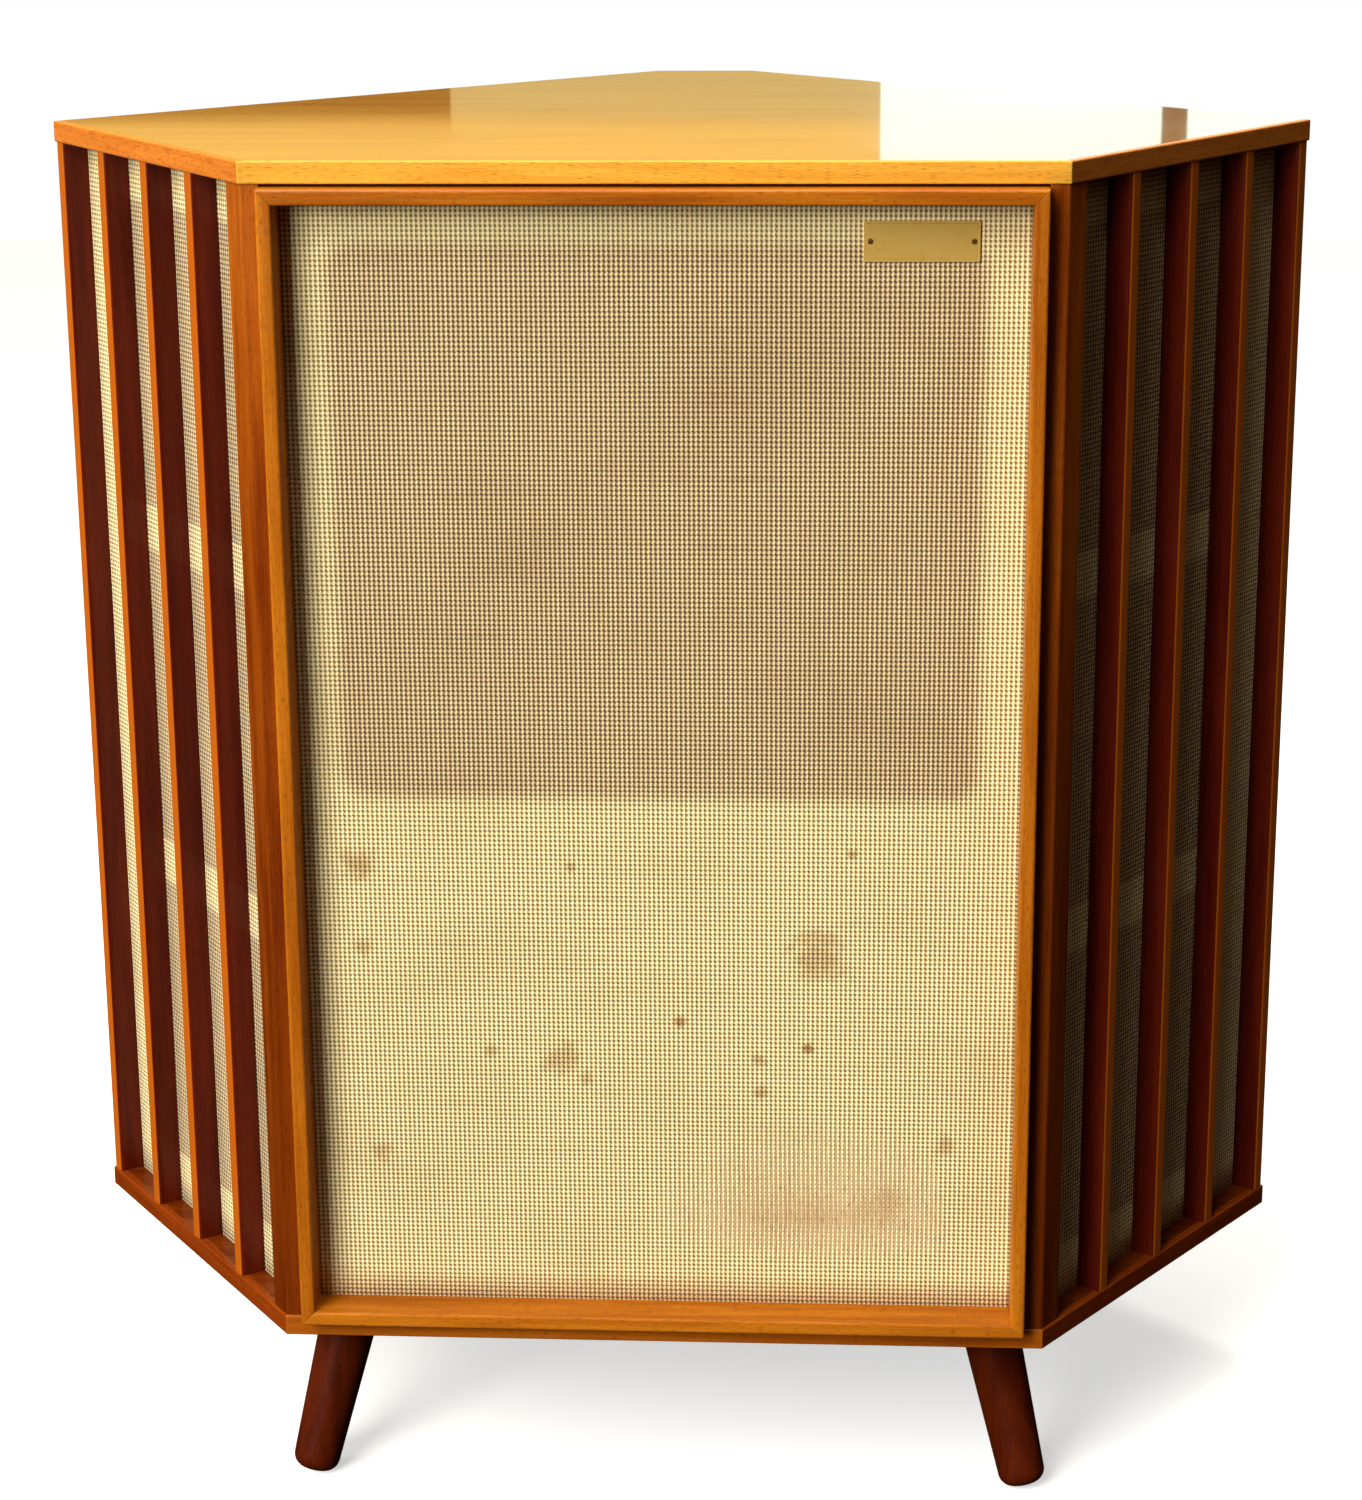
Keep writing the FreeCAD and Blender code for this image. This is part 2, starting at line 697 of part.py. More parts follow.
def makeDriver():
    rim = "Sizes.cutoutRadius - 2 * Sizes.looseGap"
    wall = "Sizes.basketWall"
    basket = revolved("DriverBasket", [
        ("-Sizes.flangeThick", "Sizes.driverRadius"),
        ("0", "Sizes.driverRadius"),
        ("0", rim),
        ("Sizes.basketDepth", "Sizes.basketRear"),
        ("Sizes.basketDepth", "Sizes.coilRadius + 3 * Sizes.gapWide"),
        (f"Sizes.basketDepth - {wall}", "Sizes.coilRadius + 3 * Sizes.gapWide"),
        (f"Sizes.basketDepth - {wall}", f"Sizes.basketRear - {wall}"),
        ("0", f"{rim} - {wall}"),
        ("-Sizes.flangeThick", f"{rim} - {wall}"),
    ])
    keep(placeDriver(basket), "driver_basket")
    gapInner = "Sizes.coilRadius - Sizes.coilWall - Sizes.gapWide"
    gapOuter = "Sizes.coilRadius + Sizes.gapWide"
    gapEnd = "Sizes.basketDepth + Sizes.magnetDepth / 2"
    magnet = revolved("DriverMagnet", [
        ("Sizes.basketDepth", "0"),
        ("Sizes.basketDepth", gapInner),
        (gapEnd, gapInner),
        (gapEnd, gapOuter),
        ("Sizes.basketDepth", gapOuter),
        ("Sizes.basketDepth", "Sizes.magnetRadius"),
        ("Sizes.basketDepth + Sizes.magnetDepth", "Sizes.magnetRadius"),
        ("Sizes.basketDepth + Sizes.magnetDepth", "0"),
    ])
    keep(placeDriver(magnet), "driver_magnet")
    gasket = revolved("DriverGasket", [
        ("-Sizes.flangeThick - Sizes.gasketThick", "Sizes.driverRadius - Sizes.gasketWide"),
        ("-Sizes.flangeThick - Sizes.gasketThick", "Sizes.driverRadius"),
        ("-Sizes.flangeThick", "Sizes.driverRadius"),
        ("-Sizes.flangeThick", "Sizes.driverRadius - Sizes.gasketWide"),
    ])
    keep(placeDriver(gasket), "driver_gasket")
    makeCone()
    bolts = []
    step = 360 / number("Sizes.boltCount")
    for i in range(int(number("Sizes.boltCount"))):
        angle = f"{(i + 0.5) * step}"
        bolts.append(rod(f"DriverBolt{i + 1}", "Sizes.boltRadius", "Sizes.boltHead",
                         f"Sizes.boltCircle * cos({angle})",
                         "Plan.baffleFront - Sizes.flangeThick - Sizes.gasketThick",
                         f"Plan.driverUp + Sizes.boltCircle * sin({angle})", TO_FRONT))
    group("driver_bolts", bolts)


def makeCone():
    """The moving cone, its cap and coil, and the fixed surround that it works inside."""
    neck = "Sizes.coilRadius"
    cone = revolved("DriverCone", [
        ("0", "Sizes.coneRadius"),
        ("Sizes.coneWall", "Sizes.coneRadius"),
        ("Sizes.coneDepth", neck),
        ("Sizes.coneDepth", f"{neck} - Sizes.coilWall"),
    ])
    keep(placeDriver(cone), "driver_cone")
    coil = revolved("VoiceCoil", [
        ("Sizes.coneDepth", f"{neck} - Sizes.coilWall"),
        ("Sizes.coneDepth", neck),
        ("Sizes.coneDepth + Sizes.coilLength + 4 * Sizes.gapWide", neck),
        ("Sizes.coneDepth + Sizes.coilLength + 4 * Sizes.gapWide", f"{neck} - Sizes.coilWall"),
    ])
    keep(placeDriver(coil), "voice_coil")
    slope = "(Sizes.coneDepth / (Sizes.coneRadius - Sizes.coilRadius))"
    seat = f"(Sizes.coneRadius - Sizes.capRadius) * {slope}"
    cap = revolved("DustCap", [
        (f"{seat} - Sizes.capRadius / 3", "0"),
        (f"{seat} - Sizes.capRadius / 4", "Sizes.capRadius / 2"),
        (f"{seat} - 2 * Sizes.coneWall", "Sizes.capRadius"),
        (f"{seat} - Sizes.coneWall", "Sizes.capRadius"),
        (f"{seat} - Sizes.capRadius / 4 + Sizes.coneWall", "Sizes.capRadius / 2"),
        (f"{seat} - Sizes.capRadius / 3 + Sizes.coneWall", "0"),
    ])
    keep(placeDriver(cap), "dust_cap")
    inner = "Sizes.coneRadius + Sizes.softGap"
    outer = "(Sizes.driverRadius - Sizes.gasketWide - Sizes.softGap)"
    face = "-Sizes.flangeThick"
    surround = revolved("Surround", [
        (f"{face} - Sizes.surroundWall", inner),
        (face, inner),
        (face, outer),
        (f"{face} - Sizes.surroundWall", outer),
        (f"{face} - Sizes.surroundWall / 2 - Sizes.gasketThick", f"({inner} + {outer}) / 2"),
    ])
    keep(placeDriver(surround), "driver_surround")


def makeBacks():
    outer = "Plan.backLength - Sizes.backInset * Plan.backMitre"
    inner = "Plan.backLength - Plan.backSkin * Plan.backMitre"
    for side, sign in SIDES:
        corners = [
            ("Plan.backStart", f"{sign} * Sizes.backInset"),
            (outer, f"{sign} * Sizes.backInset"),
            (inner, f"{sign} * Plan.backSkin"),
            ("Plan.backStart", f"{sign} * Plan.backSkin"),
        ]
        panel = prism(f"{side}Back", "XY_Plane", corners, "Plan.innerHigh")
        place(panel, f"back{side.title()}", z="Sizes.boardThick")
        keep(panel, f"back_panel_{side}")
    wide = "(Sizes.backFlat / 2 - Sizes.backInset * Plan.backMitre)"
    narrow = "(Sizes.backFlat / 2 - Plan.backSkin * Plan.backMitre)"
    centre = prism("BackCentre", "XY_Plane", [
        (f"-{narrow}", "Plan.depth - Plan.backSkin"),
        (narrow, "Plan.depth - Plan.backSkin"),
        (wide, "Plan.depth - Sizes.backInset"),
        (f"-{wide}", "Plan.depth - Sizes.backInset"),
    ], "Plan.innerHigh")
    place(centre, "room", z="Sizes.boardThick")
    for _, sign in SIDES:
        x = f"{sign} * Sizes.terminalAside"
        cutThrough(centre, "XZ_Plane",
                   lambda sketch: drawCircle(sketch, x, "Sizes.terminalUp - Sizes.boardThick",
                                             "Sizes.studRadius"),
                   "Plan.depth", reverse=False)
    keep(centre, "back_centre_board")


def makeTerminals():
    """Two screw terminals on a plate: fixed studs, each with a knurled nut that turns on it."""
    face = "Plan.depth - Sizes.backInset"
    plate = prism("TerminalPlate", "XZ_Plane", [
        ("-Sizes.plateWide / 2", "-Sizes.plateHigh / 2"),
        ("Sizes.plateWide / 2", "-Sizes.plateHigh / 2"),
        ("Sizes.plateWide / 2", "Sizes.plateHigh / 2"),
        ("-Sizes.plateWide / 2", "Sizes.plateHigh / 2"),
    ], "Sizes.plateThick")
    for _, sign in SIDES:
        x = f"{sign} * Sizes.terminalAside"
        cutThrough(plate, "XZ_Plane",
                   lambda sketch: drawCircle(sketch, x, "0", "Sizes.studRadius"),
                   "Sizes.plateThick", reverse=True)
    place(plate, "room", y=f"{face} + Sizes.plateThick", z="Sizes.terminalUp")
    keep(plate, "terminal_plate")
    studs = []
    length = "Sizes.studReach + Plan.backSkin + Sizes.nutStand"
    start = "Plan.depth - Plan.backSkin - Sizes.nutStand"
    for name, sign in SIDES:
        x = f"{sign} * Sizes.terminalAside"
        studs.append(rod(f"{name}Stud", "Sizes.studRadius", length, x, start, "Sizes.terminalUp",
                         TO_BACK))
    group("terminal_studs", studs)
    for colour, sign in (("black", -1), ("red", 1)):
        nut = revolved(f"{colour}Nut", [
            ("0", "Sizes.studRadius + Sizes.studGap"),
            ("0", "Sizes.nutRadius"),
            ("Sizes.nutLength", "Sizes.nutRadius - Sizes.nutStand / 2"),
            ("Sizes.nutLength", "Sizes.studRadius + Sizes.studGap"),
        ])
        place(nut, "room", x=f"{sign} * Sizes.terminalAside",
              y=f"{face} + Sizes.plateThick + Sizes.nutStand", z="Sizes.terminalUp")
        keep(nut, f"terminal_nut_{colour}")


def makeCrossover():
    middleY = "(Plan.depth - Sizes.crossoverBack)"
    long = "Sizes.crossoverLong / 2"
    board = prism("CrossoverBoard", "XY_Plane", [
        ("-Sizes.crossoverWide / 2", f"{middleY} - {long}"),
        ("Sizes.crossoverWide / 2", f"{middleY} - {long}"),
        ("Sizes.crossoverWide / 2", f"{middleY} + {long}"),
        ("-Sizes.crossoverWide / 2", f"{middleY} + {long}"),
    ], "Sizes.crossoverThick")
    place(board, "room", z="Sizes.boardThick")
    keep(board, "crossover_board")
    low = "Sizes.boardThick + Sizes.crossoverThick"
    coils = []
    for name, sign in SIDES:
        coil = newBody(f"{name}Inductor")
        sketch = newSketch(coil, f"{name}InductorRing", "XY_Plane")
        drawCircle(sketch, "0", "0", "Sizes.inductorRadius")
        drawCircle(sketch, "0", "0", "Sizes.inductorBore")
        addFeature(coil, "PartDesign::Pad", sketch, "Sizes.inductorHigh")
        place(coil, "room", x=f"{sign} * Sizes.inductorAside",
              y=f"{middleY} + {long} - Sizes.inductorRadius", z=low)
        coils.append(coil)
    group("crossover_coils", coils)
    cans = []
    for i in (-1, 0, 1):
        x = f"{i} * Sizes.capacitorPitch"
        start = f"{middleY} - {long}"
        cans.append(rod(f"Capacitor{i + 2}", "Sizes.capacitorRadius", "Sizes.capacitorLong",
                        x, start, f"{low} + Sizes.capacitorRadius", TO_BACK))
    group("crossover_capacitors", cans)


def makeLeg(name, sign, aside, back, splayX, splayY):
    """A turned leg that leans out: a taper with a rounded toe, cut level at the plate and floor."""
    lean = f"sqrt(({splayX}) ^ 2 + ({splayY}) ^ 2)"
    angle = f"atan({lean} / Sizes.legHeight)"
    turned = newBody(f"{name}Turned")
    sketch = newSketch(turned, f"{name}Section", "XZ_Plane")
    length = "Sizes.legHeight + 2 * Sizes.legTopRadius"
    drawOutline(sketch, [
        ("0", "0"),
        ("Sizes.legFootRadius", "0"),
        ("Sizes.legTopRadius", length),
        ("0", length),
    ])
    spin = turned.newObject("PartDesign::Revolution", f"{name}Spin")
    spin.Profile = sketch
    spin.ReferenceAxis = (sketch, ["V_Axis"])
    spin.Angle = 360
    doc.recompute()
    easeEdges(turned, "Sizes.legToe", lambda e: e.Length > number("Sizes.legFootRadius") * 3
              and abs(middle(e).z) < 0.01)
    lift = (f"Sizes.legToe * (1 - cos({angle})) - Sizes.legSink"
            f" + (Sizes.legFootRadius - Sizes.legToe) * sin({angle})")
    turned.setExpression("Placement", (
        f"placement(vector({sign} * ({aside} + {splayX}); {back} + {splayY} - Plan.centreY; {lift});"
        f" rotation(vector({splayY}; -{sign} * {splayX}; 0); {angle}))"))
    slab = doc.addObject("Part::Box", f"{name}Slab")
    reach = f"({lean} + 2 * Sizes.legTopRadius)"
    slab.setExpression("Length", f"2 * {reach}")
    slab.setExpression("Width", f"2 * {reach}")
    slab.setExpression("Height", "Sizes.legHeight - Sizes.legPlateThick")
    place(slab, "room", x=f"{sign} * {aside} - {reach}", y=f"{back} - {reach}", z="-Sizes.legHeight")
    leg = doc.addObject("Part::Common", name)
    leg.Base = turned
    leg.Tool = slab
    return leg


def makeLegs():
    plates = []
    rows = (
        ("front", "Sizes.frontLegAside", "Sizes.frontLegBack", "Sizes.frontLegSplay",
         "-Sizes.frontLegForward"),
        ("rear", "Sizes.rearLegAside", "Sizes.rearLegBack", "Sizes.rearLegSplay",
         "Sizes.rearLegRearward"),
    )
    for row, aside, back, splayX, splayY in rows:
        for side, sign in SIDES:
            leg = makeLeg(f"{row}{side}Leg", sign, aside, back, splayX, splayY)
            keep(leg, f"leg_{row}_{side}")
            plate = doc.addObject("Part::Box", f"{row}{side}Plate")
            plate.setExpression("Length", "Sizes.legPlateSize")
            plate.setExpression("Width", "Sizes.legPlateSize")
            plate.setExpression("Height", "Sizes.legPlateThick")
            place(plate, "room", x=f"{sign} * {aside} - Sizes.legPlateSize / 2",
                  y=f"{back} - Sizes.legPlateSize / 2", z="-Sizes.legPlateThick")
            plates.append(plate)
    group("leg_plates", plates)


def checkAll():
    """Stop if any feature failed or any piece has no valid solid."""
    doc.recompute()
    for item in doc.Objects:
        if "Invalid" in item.State or "Error" in item.State:
            raise RuntimeError(f"{item.Name} is {item.State}")
    for node in nodes:
        shape = node.Shape
        if shape.isNull() or not shape.isValid() or not shape.Solids:
            raise RuntimeError(f"{node.Label} has no valid solid")


def writeAll():
    os.makedirs("parts", exist_ok=True)
    for node in nodes:
        node.Shape.exportStep(f"parts/{node.Label}.step")
    print(len(nodes), "pieces written")


makeSheet()
makePlan()
makeBoard("top_board", "Plan.ceiling")
makeBoard("bottom_board", "0")
makePosts()
makeSlats()
makeSideGrilles()
makeFrame()
makeGrille()
makeBadge()
makeFrontPanel()
makeHorn()
makeChamber()
makeDriver()
makeBacks()
makeTerminals()
makeCrossover()
makeLegs()
checkAll()
writeAll()
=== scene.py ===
import math

import bmesh
import bpy
from mathutils import Matrix, Vector


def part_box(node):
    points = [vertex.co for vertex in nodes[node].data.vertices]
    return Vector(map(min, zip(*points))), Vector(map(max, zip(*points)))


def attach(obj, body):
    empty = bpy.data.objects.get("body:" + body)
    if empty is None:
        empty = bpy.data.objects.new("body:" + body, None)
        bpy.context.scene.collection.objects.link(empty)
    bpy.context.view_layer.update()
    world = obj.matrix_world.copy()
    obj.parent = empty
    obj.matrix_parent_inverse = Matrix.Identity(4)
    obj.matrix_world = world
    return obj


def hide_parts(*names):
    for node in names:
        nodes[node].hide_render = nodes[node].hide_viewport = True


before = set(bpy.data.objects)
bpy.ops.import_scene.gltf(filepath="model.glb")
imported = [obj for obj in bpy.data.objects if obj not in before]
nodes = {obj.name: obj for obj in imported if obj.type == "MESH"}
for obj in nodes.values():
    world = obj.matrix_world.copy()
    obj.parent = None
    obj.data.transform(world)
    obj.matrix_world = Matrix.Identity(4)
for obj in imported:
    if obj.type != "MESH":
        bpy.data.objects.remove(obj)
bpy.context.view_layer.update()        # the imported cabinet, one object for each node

lippingLow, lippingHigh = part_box("bottom_board_lipping")
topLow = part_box("top_board")[0]
frontY = lippingLow.y        # the front plane of the two boards
sideAngle = math.radians(55.19)        # from the front to each slatted side
cornerX = 0.2925        # half the front, where the lippings meet in mitres
print("frame loaded,", len(nodes), "nodes")


# shader helpers

def addNode(tree, kind, inputs=None, **settings):
    node = tree.nodes.new("ShaderNode" + kind)
    for key, value in settings.items():
        setattr(node, key, value)
    for key, value in (inputs or {}).items():
        if isinstance(value, bpy.types.NodeSocket):
            tree.links.new(value, node.inputs[key])
        else:
            node.inputs[key].default_value = value
    return node


def calc(tree, operation, *values):
    return addNode(tree, "Math", dict(enumerate(values)), operation=operation).outputs[0]


def remap(tree, value, low, high, toLow=0.0, toHigh=1.0):
    inputs = {"Value": value, "From Min": low, "From Max": high, "To Min": toLow, "To Max": toHigh}
    return addNode(tree, "MapRange", inputs, interpolation_type="SMOOTHSTEP").outputs[0]


def mixColour(tree, factor, first, second, blend="MIX"):
    node = addNode(tree, "Mix", data_type="RGBA", blend_type=blend)
    for index, value in ((0, factor), (6, first), (7, second)):
        if isinstance(value, bpy.types.NodeSocket):
            tree.links.new(value, node.inputs[index])
        else:
            node.inputs[index].default_value = value if index == 0 else (*value, 1)
    return node.outputs[2]


def splitVector(tree, vector):
    return addNode(tree, "SeparateXYZ", {0: vector}).outputs


def newGroup(name, inputs, outputs):
    tree = bpy.data.node_groups.new(name, "ShaderNodeTree")
    for label, kind, value in inputs:
        socket = tree.interface.new_socket(label, in_out="INPUT", socket_type="NodeSocket" + kind)
        if value is not None:
            socket.default_value = value
    for label, kind in outputs:
        tree.interface.new_socket(label, in_out="OUTPUT", socket_type="NodeSocket" + kind)
    given = tree.nodes.new("NodeGroupInput").outputs
    out = tree.nodes.new("NodeGroupOutput").inputs
    return tree, given, out


def useGroup(tree, group, inputs):
    node = tree.nodes.new("ShaderNodeGroup")
    node.node_tree = group
    for key, value in inputs.items():
        if isinstance(value, bpy.types.NodeSocket):
            tree.links.new(value, node.inputs[key])
        else:
            node.inputs[key].default_value = (*value, 1) if isinstance(value, tuple) else value
    return node.outputs


def newMaterial(name, **sockets):
    material = bpy.data.materials.new(name)
    material.use_nodes = True
    tree = material.node_tree
    tree.nodes.clear()
    shader = addNode(tree, "BsdfPrincipled")
    for key, value in sockets.items():
        shader.inputs[key.replace("_", " ")].default_value = value
    output = addNode(tree, "OutputMaterial")
    tree.links.new(shader.outputs[0], output.inputs["Surface"])
    return material, tree, shader.inputs


def objectPoint(tree, turn=(0, 0, 0)):
    point = addNode(tree, "TexCoord").outputs["Object"]
    return addNode(tree, "Mapping", {"Vector": point, "Rotation": turn}).outputs[0]


def noise(tree, vector, scale, detail=2.0, distortion=0.0):
    if isinstance(scale, tuple):        # stretched by three numbers
        inputs = {0: vector, 1: scale}
        vector = addNode(tree, "VectorMath", inputs, operation="MULTIPLY").outputs[0]
        scale = 1.0
    inputs = {"Vector": vector, "Scale": scale, "Detail": detail, "Distortion": distortion}
    return addNode(tree, "TexNoise", inputs).outputs["Fac"]


def bump(tree, height, distance, normal=None):
    inputs = {"Height": height, "Distance": distance}
    if normal is not None:
        inputs["Normal"] = normal
    return addNode(tree, "Bump", inputs).outputs[0]


# shared effects

def makeGrainGroup():
    # the grain runs along X of the vector given
    tree, given, out = newGroup(
        "timberGrain",
        [("Vector", "Vector", None), ("Light", "Color", None), ("Dark", "Color", None),
         ("Pore", "Color", None), ("Figure", "Float", 1.0), ("Pores", "Float", 1.0)],
        [("Colour", "Color"), ("Roughness", "Float"), ("Height", "Float")])
    point = given["Vector"]
    bands = remap(tree, noise(tree, point, (1.4, 24, 24), 3, 0.9), 0.34, 0.66)
    ribbons = remap(tree, noise(tree, point, (7, 110, 110), 2), 0.32, 0.68)
    fibres = remap(tree, noise(tree, point, (22, 780, 780), 1), 0.3, 0.7)
    clouds = remap(tree, noise(tree, point, (3.5, 5, 5), 2), 0.3, 0.7)
    vessels = remap(tree, noise(tree, point, (150, 1500, 1500), 0), 0.6, 0.72)
    tone = calc(tree, "MULTIPLY", bands, given["Figure"])
    tone = calc(tree, "MULTIPLY_ADD", ribbons, 0.3, calc(tree, "MULTIPLY", tone, 0.42))
    tone = calc(tree, "MULTIPLY_ADD", fibres, 0.16, tone)
    tone = calc(tree, "MULTIPLY_ADD", clouds, 0.2, tone)
    colour = mixColour(tree, tone, given["Light"], given["Dark"])
    openPores = calc(tree, "MULTIPLY", vessels, given["Pores"])
    tree.links.new(mixColour(tree, openPores, colour, given["Pore"]), out["Colour"])
    smudges = noise(tree, point, (6, 6, 6), 4, 0.4)
    tree.links.new(remap(tree, smudges, 0.35, 0.75, 0.16, 0.34), out["Roughness"])
    tree.links.new(calc(tree, "MULTIPLY_ADD", openPores, -1.0, calc(tree, "MULTIPLY", fibres, 0.3)),
                   out["Height"])
    return tree


def makeEdgeGroup():
    # rounds sharp edges in the light, and says where the edges are painted lighter: partly where handling has
    # rubbed them, partly as painted highlight
    tree, given, out = newGroup(
        "easedEdge",
        [("Radius", "Float", 0.001), ("RubAndHighlight", "Float", 0.6)],
        [("Normal", "Vector"), ("WearAndHighlight", "Float")])
    rounded = addNode(tree, "Bevel", {"Radius": given["Radius"]}, samples=4).outputs[0]
    flat = addNode(tree, "NewGeometry").outputs["Normal"]
    inputs = {0: rounded, 1: flat}
    facing = addNode(tree, "VectorMath", inputs, operation="DOT_PRODUCT").outputs["Value"]
    edge = remap(tree, facing, 0.995, 0.86)
    patchy = remap(tree, noise(tree, objectPoint(tree), 26, 3), 0.38, 0.62)
    wearAndHighlight = calc(tree, "MULTIPLY", calc(tree, "MULTIPLY", edge, patchy), given["RubAndHighlight"])
    tree.links.new(rounded, out["Normal"])
    tree.links.new(wearAndHighlight, out["WearAndHighlight"])
    return tree


def makeWeaveGroup():
    # vertical twisted cords crossed by thin picks; the vector is in metres on the flat cloth. The light
    # strands are painted highlights on the crests of the cords and the dark gaps are painted shade in the
    # holes
    weave = {"cordPitch": 0.0035, "pickPitch": 0.0036, "slant": 0.34, "wander": 0.0004}
    tree, given, out = newGroup(
        "cordWeave",
        [("Vector", "Vector", None), ("StrandHighlight", "Color", None), ("Ground", "Color", None),
         ("GapShade", "Color", None), ("Dirt", "Float", 0.0)],
        [("Colour", "Color"), ("Height", "Float")])
    across, up, _ = splitVector(tree, given["Vector"])
    wander = calc(tree, "MULTIPLY_ADD", noise(tree, given["Vector"], (30, 6, 1), 2), weave["wander"], across)
    rise = calc(tree, "MULTIPLY_ADD", noise(tree, given["Vector"], (6, 30, 1), 2), weave["wander"], up)
    cordPlace = calc(tree, "FRACT", calc(tree, "DIVIDE", wander, weave["cordPitch"]))
    pickPlace = calc(tree, "FRACT", calc(tree, "DIVIDE", rise, weave["pickPitch"]))
    fromCord = calc(tree, "SUBTRACT", cordPlace, 0.5)
    fromPick = calc(tree, "SUBTRACT", pickPlace, 0.5)
    lean = calc(tree, "MULTIPLY_ADD", fromPick, -weave["slant"], fromCord)
    # painted highlight along each slanted strand, dimmed as painted shade where the cord dips under a pick
    strandHighlight = remap(tree, calc(tree, "ABSOLUTE", lean), 0.4, 0.12)
    crownHighlight = remap(tree, calc(tree, "ABSOLUTE", fromPick), 0.5, 0.2, 0.25, 1.0)
    strandHighlight = calc(tree, "MULTIPLY", strandHighlight, crownHighlight)
    # painted shade in the holes between the cords and the picks
    gapAcross = remap(tree, calc(tree, "ABSOLUTE", fromCord), 0.16, 0.42)
    gapUp = remap(tree, calc(tree, "ABSOLUTE", fromPick), 0.12, 0.38)
    gapShade = calc(tree, "MULTIPLY", gapAcross, gapUp)
    slubs = remap(tree, noise(tree, given["Vector"], (286, 24, 1), 1), 0.3, 0.7, 0.78, 1.0)
    strandHighlight = calc(tree, "MULTIPLY", strandHighlight, slubs)
    colour = mixColour(tree, strandHighlight, given["Ground"], given["StrandHighlight"])
    colour = mixColour(tree, gapShade, colour, given["GapShade"])
    soil = mixColour(tree, given["Dirt"], (1, 1, 1), (0.46, 0.3, 0.16))
    tree.links.new(mixColour(tree, 1.0, colour, soil, "MULTIPLY"), out["Colour"])
    tree.links.new(calc(tree, "SUBTRACT", calc(tree, "MULTIPLY", strandHighlight, 0.7), gapShade), out["Height"])
    return tree


grainGroup = makeGrainGroup()
edgeGroup = makeEdgeGroup()
weaveGroup = makeWeaveGroup()
alongX = (0, 0, 0)
alongZ = (0, math.pi / 2, 0)


# timber finishes: every one is lacquered to a gloss except the plywood and the dark board

timberLooks = {
    "veneer_top": {"light": (0.48, 0.2, 0.018), "dark": (0.27, 0.085, 0.004), "pore": (0.13, 0.035, 0.003),
                   "figure": 0.8, "pores": 0.3, "coat": 1.0, "rub": 0.1},
    "lipping": {"light": (0.86, 0.47, 0.06), "dark": (0.52, 0.22, 0.015), "pore": (0.25, 0.05, 0.003),
                "figure": 0.6, "pores": 0.4, "coat": 0.15, "rub": 0.4, "side": (0.72, 0.42, 0.45)},
    "bottom_lipping": {"light": (0.5, 0.14, 0.008), "dark": (0.24, 0.045, 0.002), "pore": (0.1, 0.02, 0.001),
                       "figure": 0.7, "pores": 0.4, "coat": 0.15, "rub": 0.4, "side": (0.6, 0.4, 0.5)},
    "case_wood": {"light": (0.44, 0.11, 0.005), "dark": (0.16, 0.022, 0.001), "pore": (0.06, 0.008, 0.001),
                  "figure": 1.0, "pores": 0.35, "coat": 0.15, "rub": 0.4, "low": (0.5, 0.38, 0.4)},
    "slat_wood": {"light": (0.12, 0.012, 0.003), "dark": (0.04, 0.002, 0.001), "pore": (0.02, 0.001, 0.001),
                  "figure": 0.8, "pores": 0.35, "coat": 0.15, "rub": 0.5, "outer": (0.42, 0.095, 0.005)},
    "frame_wood": {"light": (0.58, 0.19, 0.01), "dark": (0.26, 0.055, 0.002), "pore": (0.1, 0.02, 0.001),
                   "figure": 0.9, "pores": 0.4, "coat": 0.15, "rub": 0.5},
    "leg_wood": {"light": (0.12, 0.016, 0.002), "dark": (0.04, 0.004, 0.001), "pore": (0.02, 0.003, 0.001),
                 "figure": 0.8, "pores": 0.4, "coat": 0.25, "rub": 0.3},
    "plywood": {"light": (0.6, 0.42, 0.22), "dark": (0.4, 0.24, 0.1), "pore": (0.2, 0.11, 0.05),
                "figure": 0.7, "pores": 0.5, "coat": 0.0, "rub": 0.2},
    "dark_board": {"light": (0.05, 0.04, 0.03), "dark": (0.018, 0.015, 0.012), "pore": (0.01, 0.008, 0.006),
                   "figure": 0.6, "pores": 0.4, "coat": 0.0, "rub": 0.2},
}


def outerEdge(tree):
    # 1 where a face looks out of its own slatted side
    x, y, _ = splitVector(tree, addNode(tree, "NewGeometry").outputs["True Normal"])
    side = calc(tree, "SIGN", splitVector(tree, objectPoint(tree))[0])
    aside = calc(tree, "MULTIPLY", calc(tree, "MULTIPLY", x, side), math.sin(sideAngle))
    outward = calc(tree, "MULTIPLY_ADD", y, -math.cos(sideAngle), aside)
    return remap(tree, outward, 0.72, 0.9)


